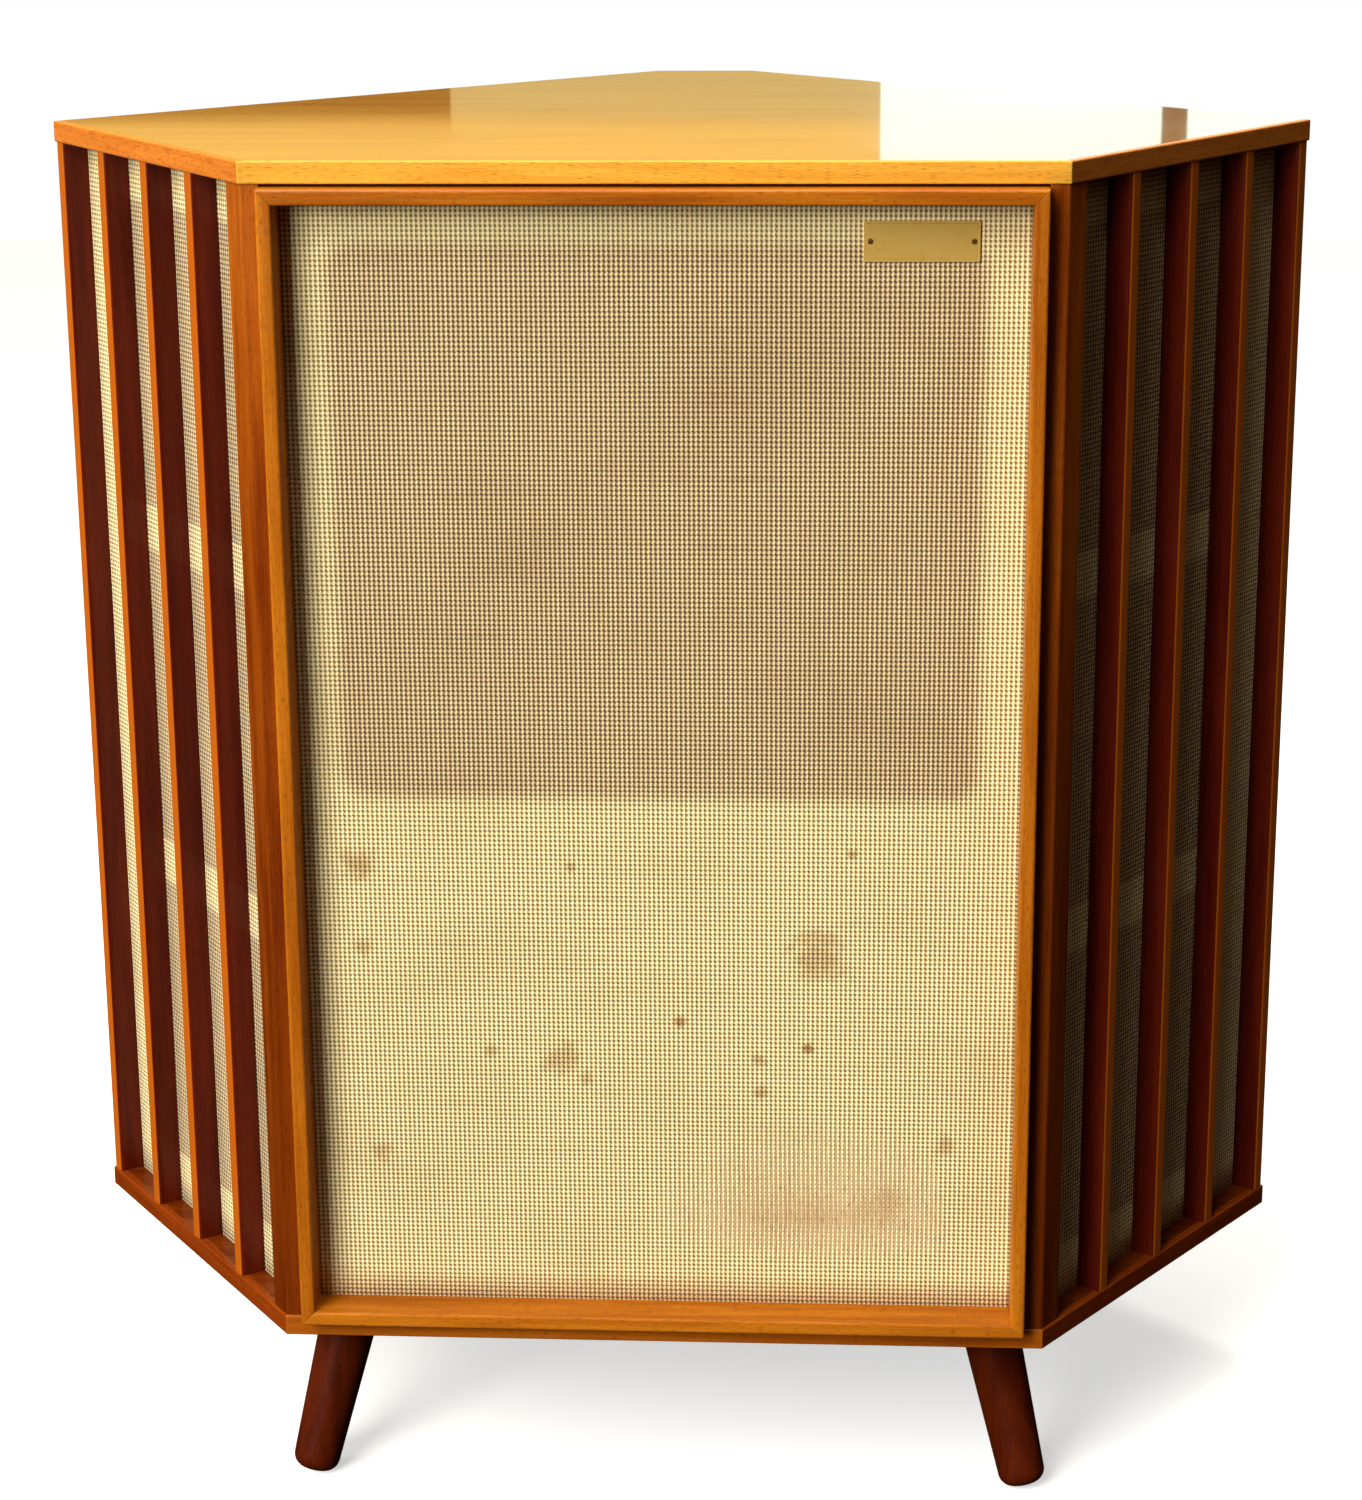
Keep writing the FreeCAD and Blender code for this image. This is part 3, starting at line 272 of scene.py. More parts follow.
def timber(name, kind, point):
    look = timberLooks[kind]
    glossy = look["coat"] > 0
    material, tree, shader = newMaterial(
        name, Coat_Weight=look["coat"], Coat_Roughness=0.05, Coat_IOR=1.5,
        Specular_IOR_Level=0.05 if glossy else 0.25)
    grain = useGroup(tree, grainGroup, {
        "Vector": point(tree), "Light": look["light"], "Dark": look["dark"],
        "Pore": look["pore"], "Figure": look["figure"], "Pores": look["pores"]})
    edge = useGroup(tree, edgeGroup, {"Radius": 0.0012, "RubAndHighlight": look["rub"]})
    rubbedAndHighlit = tuple(min(1.0, 1.35 * channel + 0.02) for channel in look["light"])
    colour = grain["Colour"]
    if "side" in look:         # the side strips are darker and redder than the front one
        tint = mixColour(tree, sideStrips(tree), (1, 1, 1), look["side"])
        colour = mixColour(tree, 1.0, colour, tint, "MULTIPLY")
    if "low" in look:          # and the posts darken towards the floor
        fall = remap(tree, splitVector(tree, objectPoint(tree))[2], topLow.z, lippingHigh.z)
        colour = mixColour(tree, 1.0, colour, mixColour(tree, fall, (1, 1, 1), look["low"]), "MULTIPLY")
    if "outer" in look:        # the outer edges stayed light where the faces are stained
        colour = mixColour(tree, outerEdge(tree), colour, look["outer"])
    # edges painted lighter, partly as rubbed wear and partly as painted highlight
    colour = mixColour(tree, edge["WearAndHighlight"], colour, rubbedAndHighlit)
    tree.links.new(colour, shader["Base Color"])
    rough = calc(tree, "ADD", grain["Roughness"], 0.1 if glossy else 0.4)
    tree.links.new(rough, shader["Roughness"])
    depth = 0.00012 if glossy else 0.0003
    tree.links.new(bump(tree, grain["Height"], depth, edge["Normal"]), shader["Normal"])
    if glossy:
        tree.links.new(edge["Normal"], shader["Coat Normal"])
    return material


def sideStrips(tree):
    # 1 past the mitres of the front corners
    x, y, _ = splitVector(tree, objectPoint(tree))
    half = (math.pi - sideAngle) / 2
    aside = calc(tree, "SUBTRACT", calc(tree, "ABSOLUTE", x), cornerX)
    beyond = calc(tree, "MULTIPLY", aside, math.sin(half))
    behind = calc(tree, "MULTIPLY", calc(tree, "SUBTRACT", y, frontY), math.cos(half))
    return calc(tree, "GREATER_THAN", calc(tree, "ADD", beyond, behind), 0.0)


def straight(turn):
    return lambda tree: objectPoint(tree, turn)


def roundTheFront(tree):
    # the lipping's grain turns with its strips at the mitres
    x, y, z = splitVector(tree, objectPoint(tree))
    aside = calc(tree, "ABSOLUTE", x)
    mirrored = addNode(tree, "CombineXYZ", {0: aside, 1: y, 2: z}).outputs[0]
    turned = addNode(tree, "Mapping", {"Vector": mirrored, "Rotation": (0, 0, -sideAngle)}).outputs[0]
    plain = addNode(tree, "CombineXYZ", {0: x, 1: y, 2: z}).outputs[0]
    node = addNode(tree, "Mix", {0: sideStrips(tree), 4: plain, 5: turned}, data_type="VECTOR")
    return node.outputs[1]


finishes = {
    "veneer_top": timber("veneerTop", "veneer_top", straight(alongX)),
    "lipping": timber("edgeLipping", "lipping", roundTheFront),
    "case_wood": timber("postWood", "case_wood", straight(alongZ)),
    "slat_wood": timber("slatWood", "slat_wood", straight(alongZ)),
    "frame_wood": timber("stileWood", "frame_wood", straight(alongZ)),
    "leg_wood": timber("legWood", "leg_wood", straight(alongZ)),
    "plywood": timber("birchPly", "plywood", straight(alongZ)),
    "dark_board": timber("darkBoard", "dark_board", straight(alongX)),
}
railWood = timber("railWood", "frame_wood", straight(alongX))
boardWood = timber("boardWood", "case_wood", straight(alongX))
bottomLipping = timber("bottomLipping", "bottom_lipping", roundTheFront)
print("timber finishes made")


# metals, papers and plastics

def makeBrass():
    material, tree, shader = newMaterial("agedBrass", Metallic=0.6, Coat_Weight=0.2)
    point = objectPoint(tree)
    tarnish = remap(tree, noise(tree, point, 60, 5, 0.3), 0.35, 0.8)
    brushing = noise(tree, point, (40, 2200, 2200), 1)
    tone = mixColour(tree, tarnish, (0.74, 0.48, 0.11), (0.5, 0.31, 0.06))
    tree.links.new(tone, shader["Base Color"])
    tree.links.new(remap(tree, tarnish, 0, 1, 0.38, 0.52), shader["Roughness"])
    edge = useGroup(tree, edgeGroup, {"Radius": 0.0004, "RubAndHighlight": 0.5})
    tree.links.new(bump(tree, brushing, 0.00003, edge["Normal"]), shader["Normal"])
    return material


def makeSteel():
    material, tree, shader = newMaterial("zincSteel", Metallic=1.0)
    point = objectPoint(tree)
    spangle = addNode(tree, "TexVoronoi", {"Vector": point, "Scale": 210.0}).outputs["Color"]
    bloom = remap(tree, noise(tree, point, 60, 3), 0.4, 0.7)
    tone = mixColour(tree, 0.12, (0.56, 0.56, 0.54), spangle)
    tree.links.new(mixColour(tree, bloom, tone, (0.34, 0.32, 0.29)), shader["Base Color"])
    tree.links.new(remap(tree, bloom, 0, 1, 0.3, 0.55), shader["Roughness"])
    edge = useGroup(tree, edgeGroup, {"Radius": 0.0005, "RubAndHighlight": 0.4})
    tree.links.new(bump(tree, bloom, 0.00005, edge["Normal"]), shader["Normal"])
    return material


def makeHammeredPaint():
    material, tree, shader = newMaterial("hammeredPaint", Metallic=0.35, Coat_Weight=0.3)
    point = objectPoint(tree)
    inputs = {"Vector": point, "Scale": 260.0}
    cells = addNode(tree, "TexVoronoi", inputs, feature="SMOOTH_F1").outputs["Distance"]
    tone = mixColour(tree, remap(tree, cells, 0.1, 0.6), (0.2, 0.22, 0.24), (0.09, 0.1, 0.11))
    tree.links.new(tone, shader["Base Color"])
    tree.links.new(remap(tree, noise(tree, point, 40, 2), 0.3, 0.7, 0.3, 0.5), shader["Roughness"])
    tree.links.new(bump(tree, cells, 0.0004), shader["Normal"])
    return material


def makeEnamel():
    material, tree, shader = newMaterial("redEnamel", Coat_Weight=0.8, Coat_Roughness=0.08)
    point = objectPoint(tree)
    clouds = remap(tree, noise(tree, point, 35, 3), 0.35, 0.65)
    tree.links.new(mixColour(tree, clouds, (0.3, 0.02, 0.015), (0.2, 0.012, 0.01)), shader["Base Color"])
    tree.links.new(remap(tree, clouds, 0, 1, 0.25, 0.4), shader["Roughness"])
    tree.links.new(bump(tree, noise(tree, point, 600, 1), 0.00008), shader["Normal"])
    return material


def makeConePaper():
    axisZ = sum(corner.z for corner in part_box("driver_cone")) / 2
    material, tree, shader = newMaterial("conePaper", Sheen_Weight=0.15)
    x, y, z = splitVector(tree, objectPoint(tree))
    up = calc(tree, "SUBTRACT", z, axisZ)
    away = calc(tree, "SQRT", calc(tree, "ADD", calc(tree, "MULTIPLY", x, x), calc(tree, "MULTIPLY", up, up)))
    rings = calc(tree, "SINE", calc(tree, "MULTIPLY", away, 2 * math.pi / 0.0125))
    felt = noise(tree, objectPoint(tree), 900, 3)
    tone = mixColour(tree, remap(tree, felt, 0.35, 0.65), (0.032, 0.028, 0.024), (0.014, 0.012, 0.011))
    tree.links.new(tone, shader["Base Color"])
    tree.links.new(remap(tree, felt, 0.3, 0.7, 0.75, 0.92), shader["Roughness"])
    tree.links.new(bump(tree, calc(tree, "MULTIPLY_ADD", felt, 0.4, rings), 0.0004), shader["Normal"])
    return material


def makeCork():
    material, tree, shader = newMaterial("corkRing")
    point = objectPoint(tree)
    grains = addNode(tree, "TexVoronoi", {"Vector": point, "Scale": 520.0}).outputs
    shades = addNode(tree, "SeparateColor", {0: grains["Color"]}).outputs[0]
    tree.links.new(mixColour(tree, shades, (0.42, 0.25, 0.12), (0.2, 0.1, 0.045)), shader["Base Color"])
    tree.links.new(remap(tree, shades, 0, 1, 0.7, 0.95), shader["Roughness"])
    tree.links.new(bump(tree, grains["Distance"], 0.0004), shader["Normal"])
    return material


def makeCopper():
    material, tree, shader = newMaterial("enamelledWire", Metallic=1.0, Coat_Weight=0.6, Coat_Roughness=0.15)
    turns = {"pitch": 0.0011}
    x, y, z = splitVector(tree, objectPoint(tree))
    along = calc(tree, "ADD", z, y)
    wave = calc(tree, "SINE", calc(tree, "MULTIPLY", along, 2 * math.pi / turns["pitch"]))
    # painted shade between the turns of the winding and painted highlight on their crests
    shade = remap(tree, wave, -1, 1)
    tree.links.new(mixColour(tree, shade, (0.2, 0.055, 0.015), (0.72, 0.29, 0.09)), shader["Base Color"])
    tree.links.new(remap(tree, shade, 0, 1, 0.5, 0.28), shader["Roughness"])
    tree.links.new(bump(tree, wave, 0.0002), shader["Normal"])
    return material


def makeLaminate():
    material, tree, shader = newMaterial("brownLaminate", Coat_Weight=0.3, Coat_Roughness=0.2)
    point = objectPoint(tree)
    weft = noise(tree, point, (1900, 180, 180), 1)
    warp = noise(tree, point, (180, 1900, 1900), 1)
    threads = remap(tree, calc(tree, "ADD", weft, warp), 0.75, 1.25)
    tree.links.new(mixColour(tree, threads, (0.11, 0.045, 0.016), (0.055, 0.02, 0.008)), shader["Base Color"])
    tree.links.new(remap(tree, threads, 0, 1, 0.35, 0.55), shader["Roughness"])
    edge = useGroup(tree, edgeGroup, {"Radius": 0.0004, "RubAndHighlight": 0.3})
    tree.links.new(bump(tree, threads, 0.00006, edge["Normal"]), shader["Normal"])
    return material


def makeMoulded(name, light, dark):
    material, tree, shader = newMaterial(name, Coat_Weight=0.25, Coat_Roughness=0.12)
    point = objectPoint(tree)
    flow = remap(tree, noise(tree, point, 160, 3, 1.2), 0.35, 0.65)
    tree.links.new(mixColour(tree, flow, light, dark), shader["Base Color"])
    tree.links.new(remap(tree, flow, 0, 1, 0.28, 0.42), shader["Roughness"])
    edge = useGroup(tree, edgeGroup, {"Radius": 0.0004, "RubAndHighlight": 0.25})
    tree.links.new(bump(tree, noise(tree, point, 1400, 1), 0.00003, edge["Normal"]), shader["Normal"])
    return material


def makeWaxedCan():
    material, tree, shader = newMaterial("waxedCan", Coat_Weight=0.4, Coat_Roughness=0.3)
    point = objectPoint(tree)
    stain = remap(tree, noise(tree, point, 70, 4, 0.5), 0.4, 0.65)
    wrap = noise(tree, point, (30, 900, 30), 1)
    tree.links.new(mixColour(tree, stain, (0.5, 0.4, 0.22), (0.33, 0.22, 0.09)), shader["Base Color"])
    tree.links.new(remap(tree, stain, 0, 1, 0.35, 0.6), shader["Roughness"])
    edge = useGroup(tree, edgeGroup, {"Radius": 0.0006, "RubAndHighlight": 0.3})
    tree.links.new(bump(tree, wrap, 0.0001, edge["Normal"]), shader["Normal"])
    return material


finishes.update({
    "brass": makeBrass(),
    "steel": makeSteel(),
    "basket_paint": makeHammeredPaint(),
    "magnet_paint": makeEnamel(),
    "cone_paper": makeConePaper(),
    "cork": makeCork(),
    "copper": makeCopper(),
    "paxolin": makeLaminate(),
    "black_plastic": makeMoulded("blackMoulding", (0.02, 0.019, 0.018), (0.01, 0.01, 0.01)),
    "red_plastic": makeMoulded("redMoulding", (0.42, 0.015, 0.012), (0.24, 0.01, 0.008)),
    "can": makeWaxedCan(),
})
print("other finishes made")


# the cloth

frontMouth = {"left": -0.236, "right": 0.236, "low": 0.573, "high": 0.985, "corner": 0.022, "soft": 0.009}
frontStains = [        # across and up on the front, radius, strength
    (0.119, 0.452, 0.030, 0.55), (0.014, 0.398, 0.007, 0.9), (-0.066, 0.520, 0.006, 0.6),
    (0.112, 0.378, 0.007, 0.9), (0.075, 0.368, 0.008, 0.6), (-0.076, 0.367, 0.020, 0.5),
    (0.144, 0.532, 0.006, 0.7), (-0.058, 0.352, 0.009, 0.5), (0.076, 0.341, 0.008, 0.7),
    (-0.128, 0.372, 0.008, 0.5), (0.170, 0.250, 0.026, 0.5), (-0.225, 0.520, 0.018, 0.6),
    (-0.225, 0.455, 0.012, 0.5), (-0.215, 0.290, 0.014, 0.5), (0.215, 0.300, 0.012, 0.5),
]


def frontShade(tree, across, up):
    # painted shade: dark where the open mouth of the horn lies behind the cloth, in place of the cavity seen
    # through the weave
    middleX = (frontMouth["left"] + frontMouth["right"]) / 2
    middleZ = (frontMouth["low"] + frontMouth["high"]) / 2
    halfX = (frontMouth["right"] - frontMouth["left"]) / 2 - frontMouth["corner"]
    halfZ = (frontMouth["high"] - frontMouth["low"]) / 2 - frontMouth["corner"]
    squares = []
    for place, middle, half in ((across, middleX, halfX), (up, middleZ, halfZ)):
        aside = calc(tree, "ABSOLUTE", calc(tree, "SUBTRACT", place, middle))
        outside = calc(tree, "MAXIMUM", calc(tree, "SUBTRACT", aside, half), 0.0)
        squares.append(calc(tree, "POWER", outside, 2.0))
    reach = calc(tree, "SQRT", calc(tree, "ADD", *squares))
    low = frontMouth["corner"] + frontMouth["soft"]
    return remap(tree, reach, low, frontMouth["corner"] - frontMouth["soft"])


def sideShade(tree, across, up):
    # painted shade: dark in the three open bays between the rails, light over the rails and the jamb
    bays = {"rail": 0.036, "bay": 0.240, "jamb": 0.256, "soft": 0.004}
    pitch = bays["rail"] + bays["bay"]
    ceiling = topLow.z
    floorZ = lippingHigh.z
    down = calc(tree, "SUBTRACT", ceiling, up)
    place = calc(tree, "MULTIPLY", calc(tree, "FRACT", calc(tree, "DIVIDE", down, pitch)), pitch)
    bay = remap(tree, place, bays["rail"] - bays["soft"], bays["rail"] + bays["soft"])
    above = remap(tree, up, floorZ + bays["rail"] - bays["soft"], floorZ + bays["rail"] + bays["soft"])
    before = remap(tree, across, bays["jamb"] + bays["soft"], bays["jamb"] - bays["soft"])
    return calc(tree, "MULTIPLY", calc(tree, "MULTIPLY", bay, above), before)


def stainMask(tree, across, up, stains):
    point = addNode(tree, "CombineXYZ", {0: across, 1: up}).outputs[0]
    blots = noise(tree, point, 95, 4, 0.5)
    total = None
    for x, z, radius, strength in stains:
        inputs = {0: point, 1: (x, z, 0)}
        away = addNode(tree, "VectorMath", inputs, operation="DISTANCE").outputs["Value"]
        away = calc(tree, "MULTIPLY_ADD", calc(tree, "SUBTRACT", blots, 0.5), radius * 1.6, away)
        spot = remap(tree, away, radius, radius * 0.15, 0.0, strength)
        total = spot if total is None else calc(tree, "MAXIMUM", total, spot)
    return total


def makeClothMaterial(name, shadeOf, stains):
    material, tree, shader = newMaterial(name, Sheen_Weight=0.12, Sheen_Roughness=0.5)
    cloth = addNode(tree, "UVMap", uv_map="weave").outputs[0]
    across, up, _ = splitVector(tree, cloth)
    shade = shadeOf(tree, across, up)
    ageing = remap(tree, noise(tree, cloth, (5, 9, 1), 4, 0.4), 0.45, 0.8, 0.0, 0.3)
    streaks = remap(tree, noise(tree, cloth, (9, 160, 1), 3), 0.58, 0.78, 0.0, 0.2)
    dirt = calc(tree, "ADD", ageing, streaks)
    if stains:
        dirt = calc(tree, "MAXIMUM", dirt, stainMask(tree, across, up, stains))
    # the shade mask turns each cloth colour towards its darker copy, painted shade of the cavity behind the
    # cloth
    weave = useGroup(tree, weaveGroup, {
        "Vector": cloth,
        "StrandHighlight": mixColour(tree, shade, (1.0, 0.93, 0.56), (0.86, 0.7, 0.38)),
        "Ground": mixColour(tree, shade, (0.74, 0.58, 0.25), (0.36, 0.235, 0.1)),
        "GapShade": mixColour(tree, shade, (0.24, 0.15, 0.04), (0.09, 0.05, 0.02)),
        "Dirt": dirt})
    tree.links.new(weave["Colour"], shader["Base Color"])
    tree.links.new(remap(tree, weave["Height"], -1, 1, 0.95, 0.68), shader["Roughness"])
    tree.links.new(bump(tree, weave["Height"], 0.0006), shader["Normal"])
    return material


def makeCloth(name, width, low, high, start, place, material):
    # a stretched sheet, ribbed by its cords and slightly slack between its edges
    cloth = {"cordPitch": 0.0035, "rib": 0.00012, "thick": 0.0004, "slack": 0.0006, "rows": 36,
             "held": 0.06, "waveAcross": (7, 2), "waveUp": (5, 1)}
    columns = 4 * round(width / cloth["cordPitch"])
    mesh = bmesh.new()
    bmesh.ops.create_grid(mesh, x_segments=columns, y_segments=cloth["rows"], size=0.5)
    weave = mesh.loops.layers.uv.new("weave")
    for vert in mesh.verts:
        vert.co.x = (vert.co.x + 0.5) * width
        vert.co.y = low + (vert.co.y + 0.5) * (high - low)
    for face in mesh.faces:
        for loop in face.loops:
            loop[weave].uv = (start + loop.vert.co.x, loop.vert.co.y)
    for vert in mesh.verts:
        across, up = vert.co.x, vert.co.y
        rib = math.cos(2 * math.pi * ((start + across) / cloth["cordPitch"] - 0.5))
        edge = min(across, width - across, up - low, high - up)
        sag = min(1.0, edge / cloth["held"])
        for along, (rate, shift) in ((across, cloth["waveAcross"]), (up, cloth["waveUp"])):
            sag *= math.sin(rate * along + shift)
        vert.co.z = cloth["rib"] * rib + cloth["slack"] * sag
    bmesh.ops.transform(mesh, matrix=place, verts=mesh.verts)
    for face in mesh.faces:
        face.smooth = True
    data = bpy.data.meshes.new(name)
    mesh.to_mesh(data)
    mesh.free()
    piece = bpy.data.objects.new(name, data)
    bpy.context.scene.collection.objects.link(piece)
    data.materials.append(material)
    solid = piece.modifiers.new("thickness", "SOLIDIFY")
    solid.thickness = cloth["thick"]
    solid.offset = -1
    return piece


def standing(origin, direction):
    # flat X runs along direction, flat Y runs up, flat Z comes out of the cabinet
    along = Vector(direction).normalized()
    up = Vector((0, 0, 1))
    out = along.cross(up)
    turn = Matrix((along, up, out)).transposed().to_4x4()
    return Matrix.Translation(origin) @ turn


def makeFrontCloth():
    low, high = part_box("grille_cloth")
    clear = 0.0006        # behind the CAD cloth's face
    width = high.x - low.x
    place = standing((low.x, low.y + clear, 0), (1, 0, 0))
    material = makeClothMaterial("frontCloth", frontShade, frontStains)
    piece = makeCloth("frontGrilleCloth", width, low.z, high.z, low.x, place, material)
    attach(piece, "grille")
    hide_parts("grille_cloth")


def makeSideCloth(side, sign):
    low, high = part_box("side_cloth_" + side)
    thick = 0.001        # of the CAD cloth
    postEnd = 0.024        # where the cloth starts, along the side from the front corner
    out = Vector((math.sin(sideAngle), -math.cos(sideAngle), 0))
    run = Vector((high.x - low.x - thick * out.x, high.y - low.y + thick * out.y, 0))
    front = Vector((low.x if sign > 0 else -high.x, low.y, 0))
    front.y += thick * math.cos(sideAngle)
    front += out * thick / 2
    if sign > 0:
        start, along = front, Vector((run.x, run.y, 0))
    else:
        start, along = Vector((-front.x - run.x, front.y + run.y, 0)), Vector((run.x, -run.y, 0))
    width = run.length
    place = standing(start, along)
    material = makeClothMaterial("sideCloth" + side.title(), sideShade, None)
    piece = makeCloth("sideGrilleCloth" + side.title(), width, low.z, high.z, postEnd, place, material)
    if sign < 0:        # the cloth runs from the back on this side, so its weave is counted from the front
        for loop in piece.data.uv_layers["weave"].data:
            loop.uv.x = 2 * postEnd + width - loop.uv.x
    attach(piece, "cabinet")
    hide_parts("side_cloth_" + side)


makeFrontCloth()
makeSideCloth("right", 1)
makeSideCloth("left", -1)
print("cloths stretched")


# small fittings

def finishPiece(name, mesh, material, body):
    data = bpy.data.meshes.new(name)
    mesh.to_mesh(data)
    mesh.free()
    piece = bpy.data.objects.new(name, data)
    bpy.context.scene.collection.objects.link(piece)
    data.materials.append(material)
    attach(piece, body)
    return piece


def makeBadge():
    badge = {"corner": 0.0009, "margin": 0.0022, "line": 0.0006, "depth": 0.00025}
    low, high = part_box("badge_plate")
    size = high - low
    mesh = bmesh.new()
    bmesh.ops.create_cube(mesh, size=1.0)
    bmesh.ops.scale(mesh, vec=size, verts=mesh.verts)
    rim = list(mesh.edges)
    face = max(mesh.faces, key=lambda f: -f.normal.y)
    for width, depth in ((badge["margin"], 0.0), (badge["line"] / 2, -badge["depth"]),
                         (badge["line"] / 2, badge["depth"])):
        bmesh.ops.inset_region(mesh, faces=[face], thickness=width, depth=depth)
    corners = [edge for edge in rim if abs(edge.verts[0].co.y - edge.verts[1].co.y) > size.y / 2]
    bmesh.ops.bevel(mesh, geom=corners, offset=badge["corner"], affect="EDGES",
                    segments=3, profile=0.5, material=-1)
    bmesh.ops.translate(mesh, vec=(low + high) / 2, verts=mesh.verts)
    piece = finishPiece("engravedBadge", mesh, finishes["brass"], "grille")
    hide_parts("badge_plate")


def screwHead(radius, height, place):
    # a domed head with a slot, standing on Z before it is placed
    head = {"segments": 24, "slotWide": 0.34, "slotLong": 1.2, "slotDeep": 0.5, "dome": 0.55}
    mesh = bmesh.new()
    bmesh.ops.create_cone(mesh, cap_ends=True, segments=head["segments"],
                          radius1=radius, radius2=radius, depth=height)
    bmesh.ops.translate(mesh, vec=(0, 0, height / 2), verts=mesh.verts)
    top = max(mesh.faces, key=lambda f: f.calc_center_median().z)
    bmesh.ops.bevel(mesh, geom=list(top.edges), offset=height * head["dome"], affect="EDGES",
                    segments=3, profile=0.5, material=-1)
    flat = [max(mesh.faces, key=lambda f: (round(f.calc_center_median().z, 7), f.calc_area()))]
    for normal, reach in (((1, 0, 0), head["slotWide"]), ((0, 1, 0), head["slotLong"])):
        for side in (-1, 1):
            parts = dict.fromkeys(part for f in flat for part in (f, *f.edges, *f.verts))
            point = Vector(normal) * side * reach * radius / 2 + Vector((0, 0, height))
            cut = bmesh.ops.bisect_plane(mesh, geom=list(parts), dist=1e-7, plane_co=point, plane_no=normal)
            flat = [part for part in cut["geom"] if isinstance(part, bmesh.types.BMFace)]
    slot = min(flat, key=lambda f: f.calc_center_median().xy.length)
    pushed = bmesh.ops.extrude_discrete_faces(mesh, faces=[slot])["faces"][0]
    bmesh.ops.translate(mesh, vec=(0, 0, -height * head["slotDeep"]), verts=pushed.verts)
    bmesh.ops.transform(mesh, matrix=place, verts=mesh.verts)
    data = bpy.data.meshes.new("screwHead")
    mesh.to_mesh(data)
    mesh.free()
    return data


def makeBadgeScrews():
    low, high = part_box("badge_screws")
    radius = (high.z - low.z) / 2
    mesh = bmesh.new()
    for x, turn in ((low.x + radius, 0.5), (high.x - radius, 1.9)):
        place = (Matrix.Translation((x, high.y, low.z + radius)) @ Matrix.Rotation(math.pi / 2, 4, "X")
                 @ Matrix.Rotation(turn, 4, "Z"))
        mesh.from_mesh(screwHead(radius, high.y - low.y, place))
    piece = finishPiece("badgeScrewHeads", mesh, makeDarkScrew(), "grille")
    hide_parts("badge_screws")


def makeDarkScrew():
    material, tree, shader = newMaterial("darkScrew", Metallic=1.0)
    dull = remap(tree, noise(tree, objectPoint(tree), 1200, 2), 0.35, 0.65)
    tree.links.new(mixColour(tree, dull, (0.22, 0.12, 0.04), (0.08, 0.045, 0.02)), shader["Base Color"])
    tree.links.new(remap(tree, dull, 0, 1, 0.4, 0.6), shader["Roughness"])
    return material


makeBadge()
makeBadgeScrews()
print("badge made")


# each remaining CAD node takes its slot's finish

def finishNode(node, material):
    node.data.materials.clear()
    node.data.materials.append(material)


railNodes = ("frame_rail_top", "frame_rail_bottom")
for name, node in nodes.items():
    kind = node.data.materials[0].name.split(".")[0]
    if name in railNodes:
        finishNode(node, railWood)
    elif name == "bottom_board":
        finishNode(node, boardWood)
    elif name == "bottom_board_lipping":
        finishNode(node, bottomLipping)
    elif name.startswith("rear_stile"):
        finishNode(node, finishes["slat_wood"])
    elif kind in finishes:
        finishNode(node, finishes[kind])
print("finishes set")


# stage, light and camera

stage = {"floorSize": 14.0, "white": 0.7, "glow": 0.55}


def emitter(name, strength, colour):
    material = bpy.data.materials.new(name)
    material.use_nodes = True
    tree = material.node_tree
    tree.nodes.clear()
    shine = addNode(tree, "Emission", {"Color": (*colour, 1), "Strength": strength})
    output = addNode(tree, "OutputMaterial")
    tree.links.new(shine.outputs[0], output.inputs["Surface"])
    return material


def addFloor():
    mesh = bmesh.new()
    bmesh.ops.create_grid(mesh, x_segments=1, y_segments=1, size=stage["floorSize"] / 2)
    data = bpy.data.meshes.new("floor")
    mesh.to_mesh(data)
    mesh.free()
    floor = bpy.data.objects.new("floor", data)
    bpy.context.scene.collection.objects.link(floor)
    material, tree, shader = newMaterial("paleFloor", Roughness=0.9, Specular_IOR_Level=0.1,
                                         Emission_Color=(1, 1, 1, 1), Emission_Strength=stage["glow"])
    shader["Base Color"].default_value = (stage["white"], stage["white"], stage["white"], 1)
    data.materials.append(material)
    floor.visible_diffuse = False        # the white floor would fill the shaded side
    floor.visible_glossy = False


def addLight(name, place, aim, size, power, colour):
    data = bpy.data.lights.new(name, "AREA")
    data.shape = "RECTANGLE"
    data.size, data.size_y = size
    data.energy = power
    data.color = colour
    light = bpy.data.objects.new(name, data)
    light.location = place
    light.rotation_euler = (Vector(aim) - Vector(place)).to_track_quat("-Z", "Y").to_euler()
    light.visible_camera = False
    bpy.context.scene.collection.objects.link(light)
    return light


def addSun():
    sun = {"elevation": 40, "azimuth": -30, "soft": 30, "strength": 2.3, "colour": (1.0, 0.96, 0.89)}
    data = bpy.data.lights.new("sun", "SUN")
    data.energy = sun["strength"]
    data.angle = math.radians(sun["soft"])
    data.color = sun["colour"]
    light = bpy.data.objects.new("sun", data)
    up, round_ = math.radians(sun["elevation"]), math.radians(sun["azimuth"])
    towards = Vector((math.sin(round_) * math.cos(up), -math.cos(round_) * math.cos(up), math.sin(up)))
    light.rotation_euler = towards.to_track_quat("Z", "Y").to_euler()
    bpy.context.scene.collection.objects.link(light)


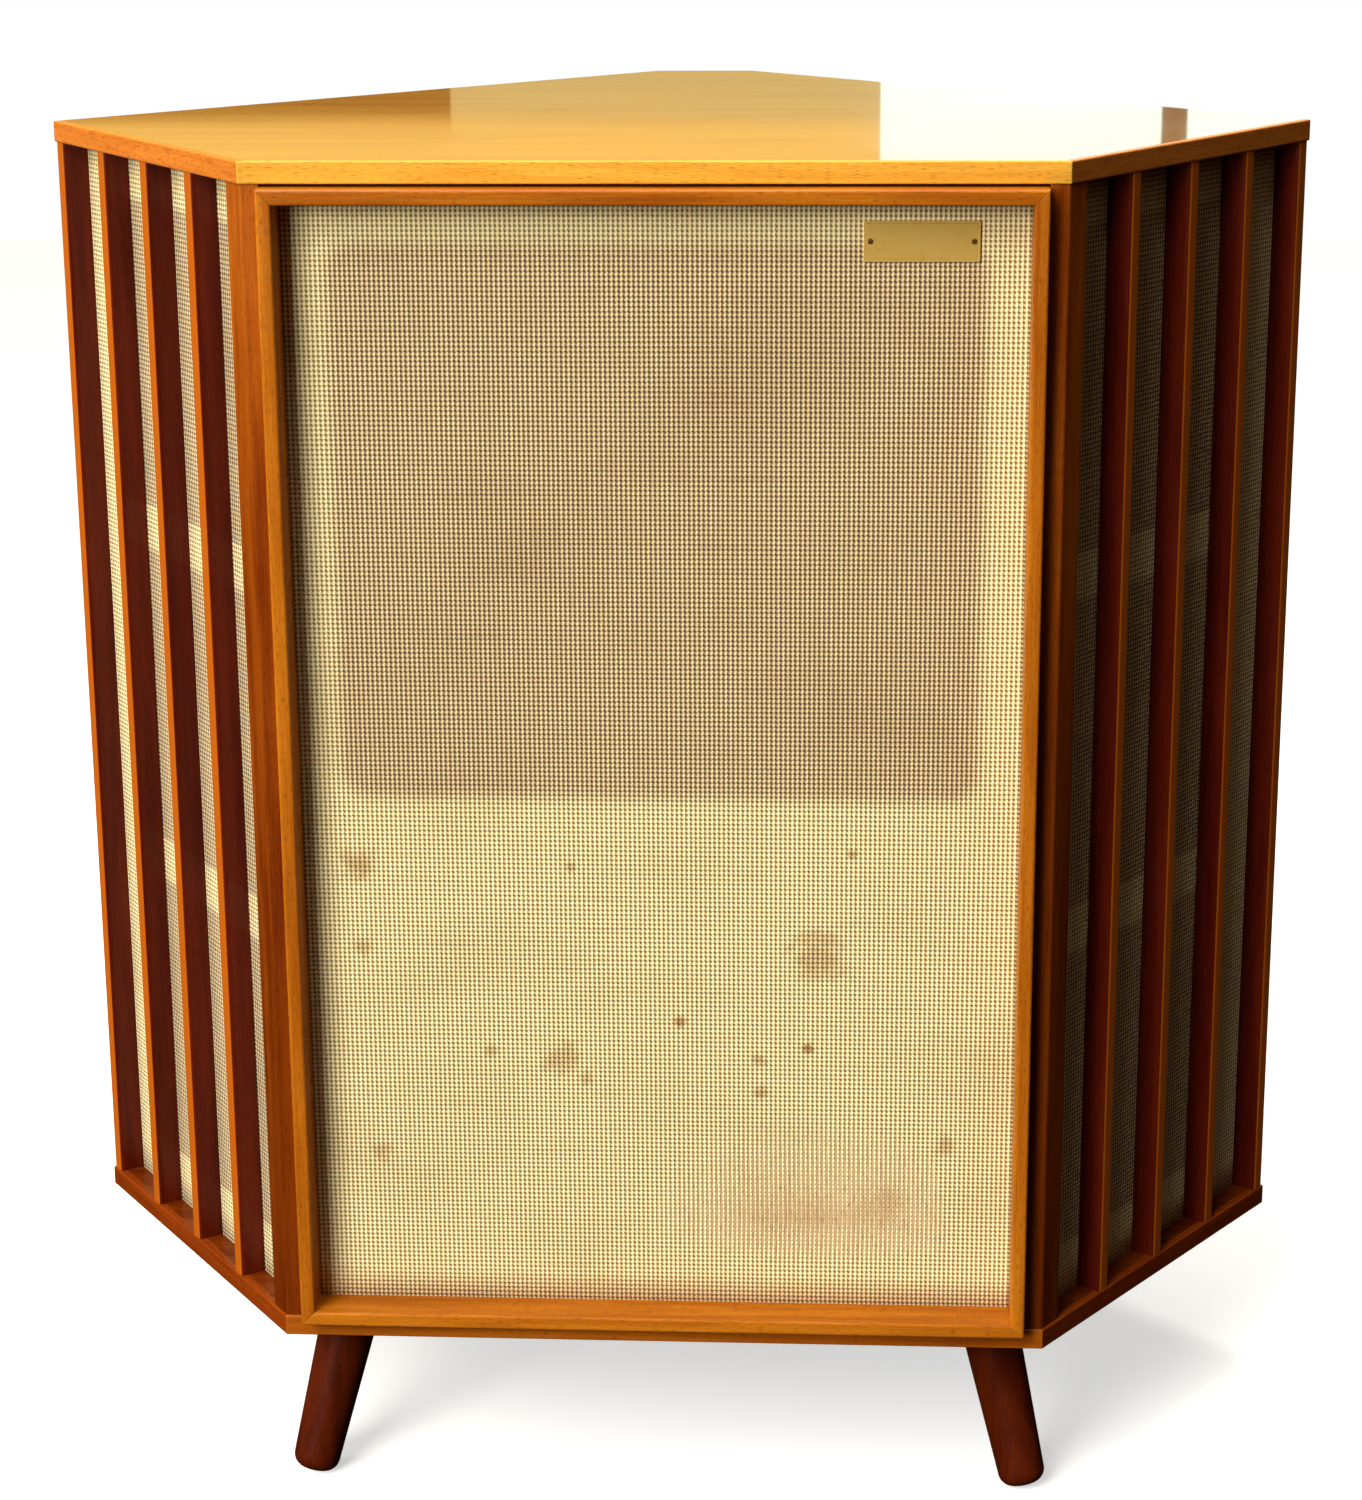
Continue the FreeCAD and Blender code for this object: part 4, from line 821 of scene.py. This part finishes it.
def addCards():
    # a window and two stretches of warm wall that the polished top reflects; cameras do not see them
    away = 4.0
    pane = {"left": 0.16, "wide": 0.6, "bar": 0.05, "low": 0.9, "high": 2.6, "count": 4}
    wall = {"left": -4.0, "corner": -0.69, "low": 0.9, "shelf": 1.45, "high": 3.2}
    window = [(pane["left"] + i * pane["wide"], pane["left"] + (i + 1) * pane["wide"] - pane["bar"],
               pane["low"], pane["high"]) for i in range(pane["count"])]
    upper = [(wall["left"], pane["left"], wall["shelf"], wall["high"])]
    lower = [(wall["corner"], pane["left"], wall["low"], wall["shelf"])]
    for name, places, strength, tint in (("window", window, 1.6, (0.7, 1.0, 0.9)),
                                         ("upperWall", upper, 1.0, (1.0, 0.66, 0.17)),
                                         ("lowerWall", lower, 0.5, (1.0, 0.92, 0.4))):
        mesh = bmesh.new()
        for left, right, low, high in places:
            place = (Matrix.Translation(((left + right) / 2, away, (low + high) / 2))
                     @ Matrix.Rotation(math.pi / 2, 4, "X")
                     @ Matrix.Diagonal((right - left, high - low, 1, 1)))
            bmesh.ops.create_grid(mesh, x_segments=1, y_segments=1, size=0.5, matrix=place)
        data = bpy.data.meshes.new(name)
        mesh.to_mesh(data)
        mesh.free()
        cards = bpy.data.objects.new(name, data)
        bpy.context.scene.collection.objects.link(cards)
        data.materials.append(emitter(name + "Light", strength, tint))
        cards.visible_camera = False
        cards.visible_shadow = False


def setWorld():
    sky = {"low": (0.03, 0.013, 0.005), "high": (0.3, 0.24, 0.17), "strength": 0.6}
    world = bpy.data.worlds.new("studio")
    bpy.context.scene.world = world
    world.use_nodes = True
    tree = world.node_tree
    tree.nodes.clear()
    direction = addNode(tree, "TexCoord").outputs["Generated"]
    rise = remap(tree, splitVector(tree, direction)[2], 0.1, 0.9)
    glow = mixColour(tree, rise, sky["low"], sky["high"])
    ambient = addNode(tree, "Background", {"Color": glow, "Strength": sky["strength"]})
    seen = addNode(tree, "Background", {"Color": (1, 1, 1, 1), "Strength": 1.0})
    path = addNode(tree, "LightPath").outputs["Is Camera Ray"]
    blend = addNode(tree, "MixShader", {0: path, 1: ambient.outputs[0], 2: seen.outputs[0]})
    output = addNode(tree, "OutputWorld")
    tree.links.new(blend.outputs[0], output.inputs["Surface"])


def addCamera():
    view = {"aside": 0.1591, "back": 2.3704, "above": 1.1671, "turn": (73.780, 0.394, 3.295), "lens": 81.0}
    data = bpy.data.cameras.new("camera")
    data.lens = view["lens"]
    data.sensor_width = 36
    camera = bpy.data.objects.new("camera", data)
    camera.location = (view["aside"], frontY - view["back"], lippingLow.z + view["above"])
    camera.rotation_euler = [math.radians(angle) for angle in view["turn"]]
    bpy.context.scene.collection.objects.link(camera)
    bpy.context.scene.camera = camera


centre = (0, 0, 0.6)
addFloor()
addCards()
addSun()
addLight("front", (-2.2, -4.3, 1.8), centre, (2.2, 2.0), 180, (1.0, 0.95, 0.88))
addLight("left", (-3.6, -0.4, 1.5), centre, (1.4, 1.4), 60, (1.0, 0.93, 0.82))
addLight("overhead", (-0.3, 0.1, 3.3), centre, (2.2, 1.8), 130, (1.0, 0.97, 0.92))
setWorld()
addCamera()
bpy.context.scene.view_settings.view_transform = "Standard"
print("stage and camera set")
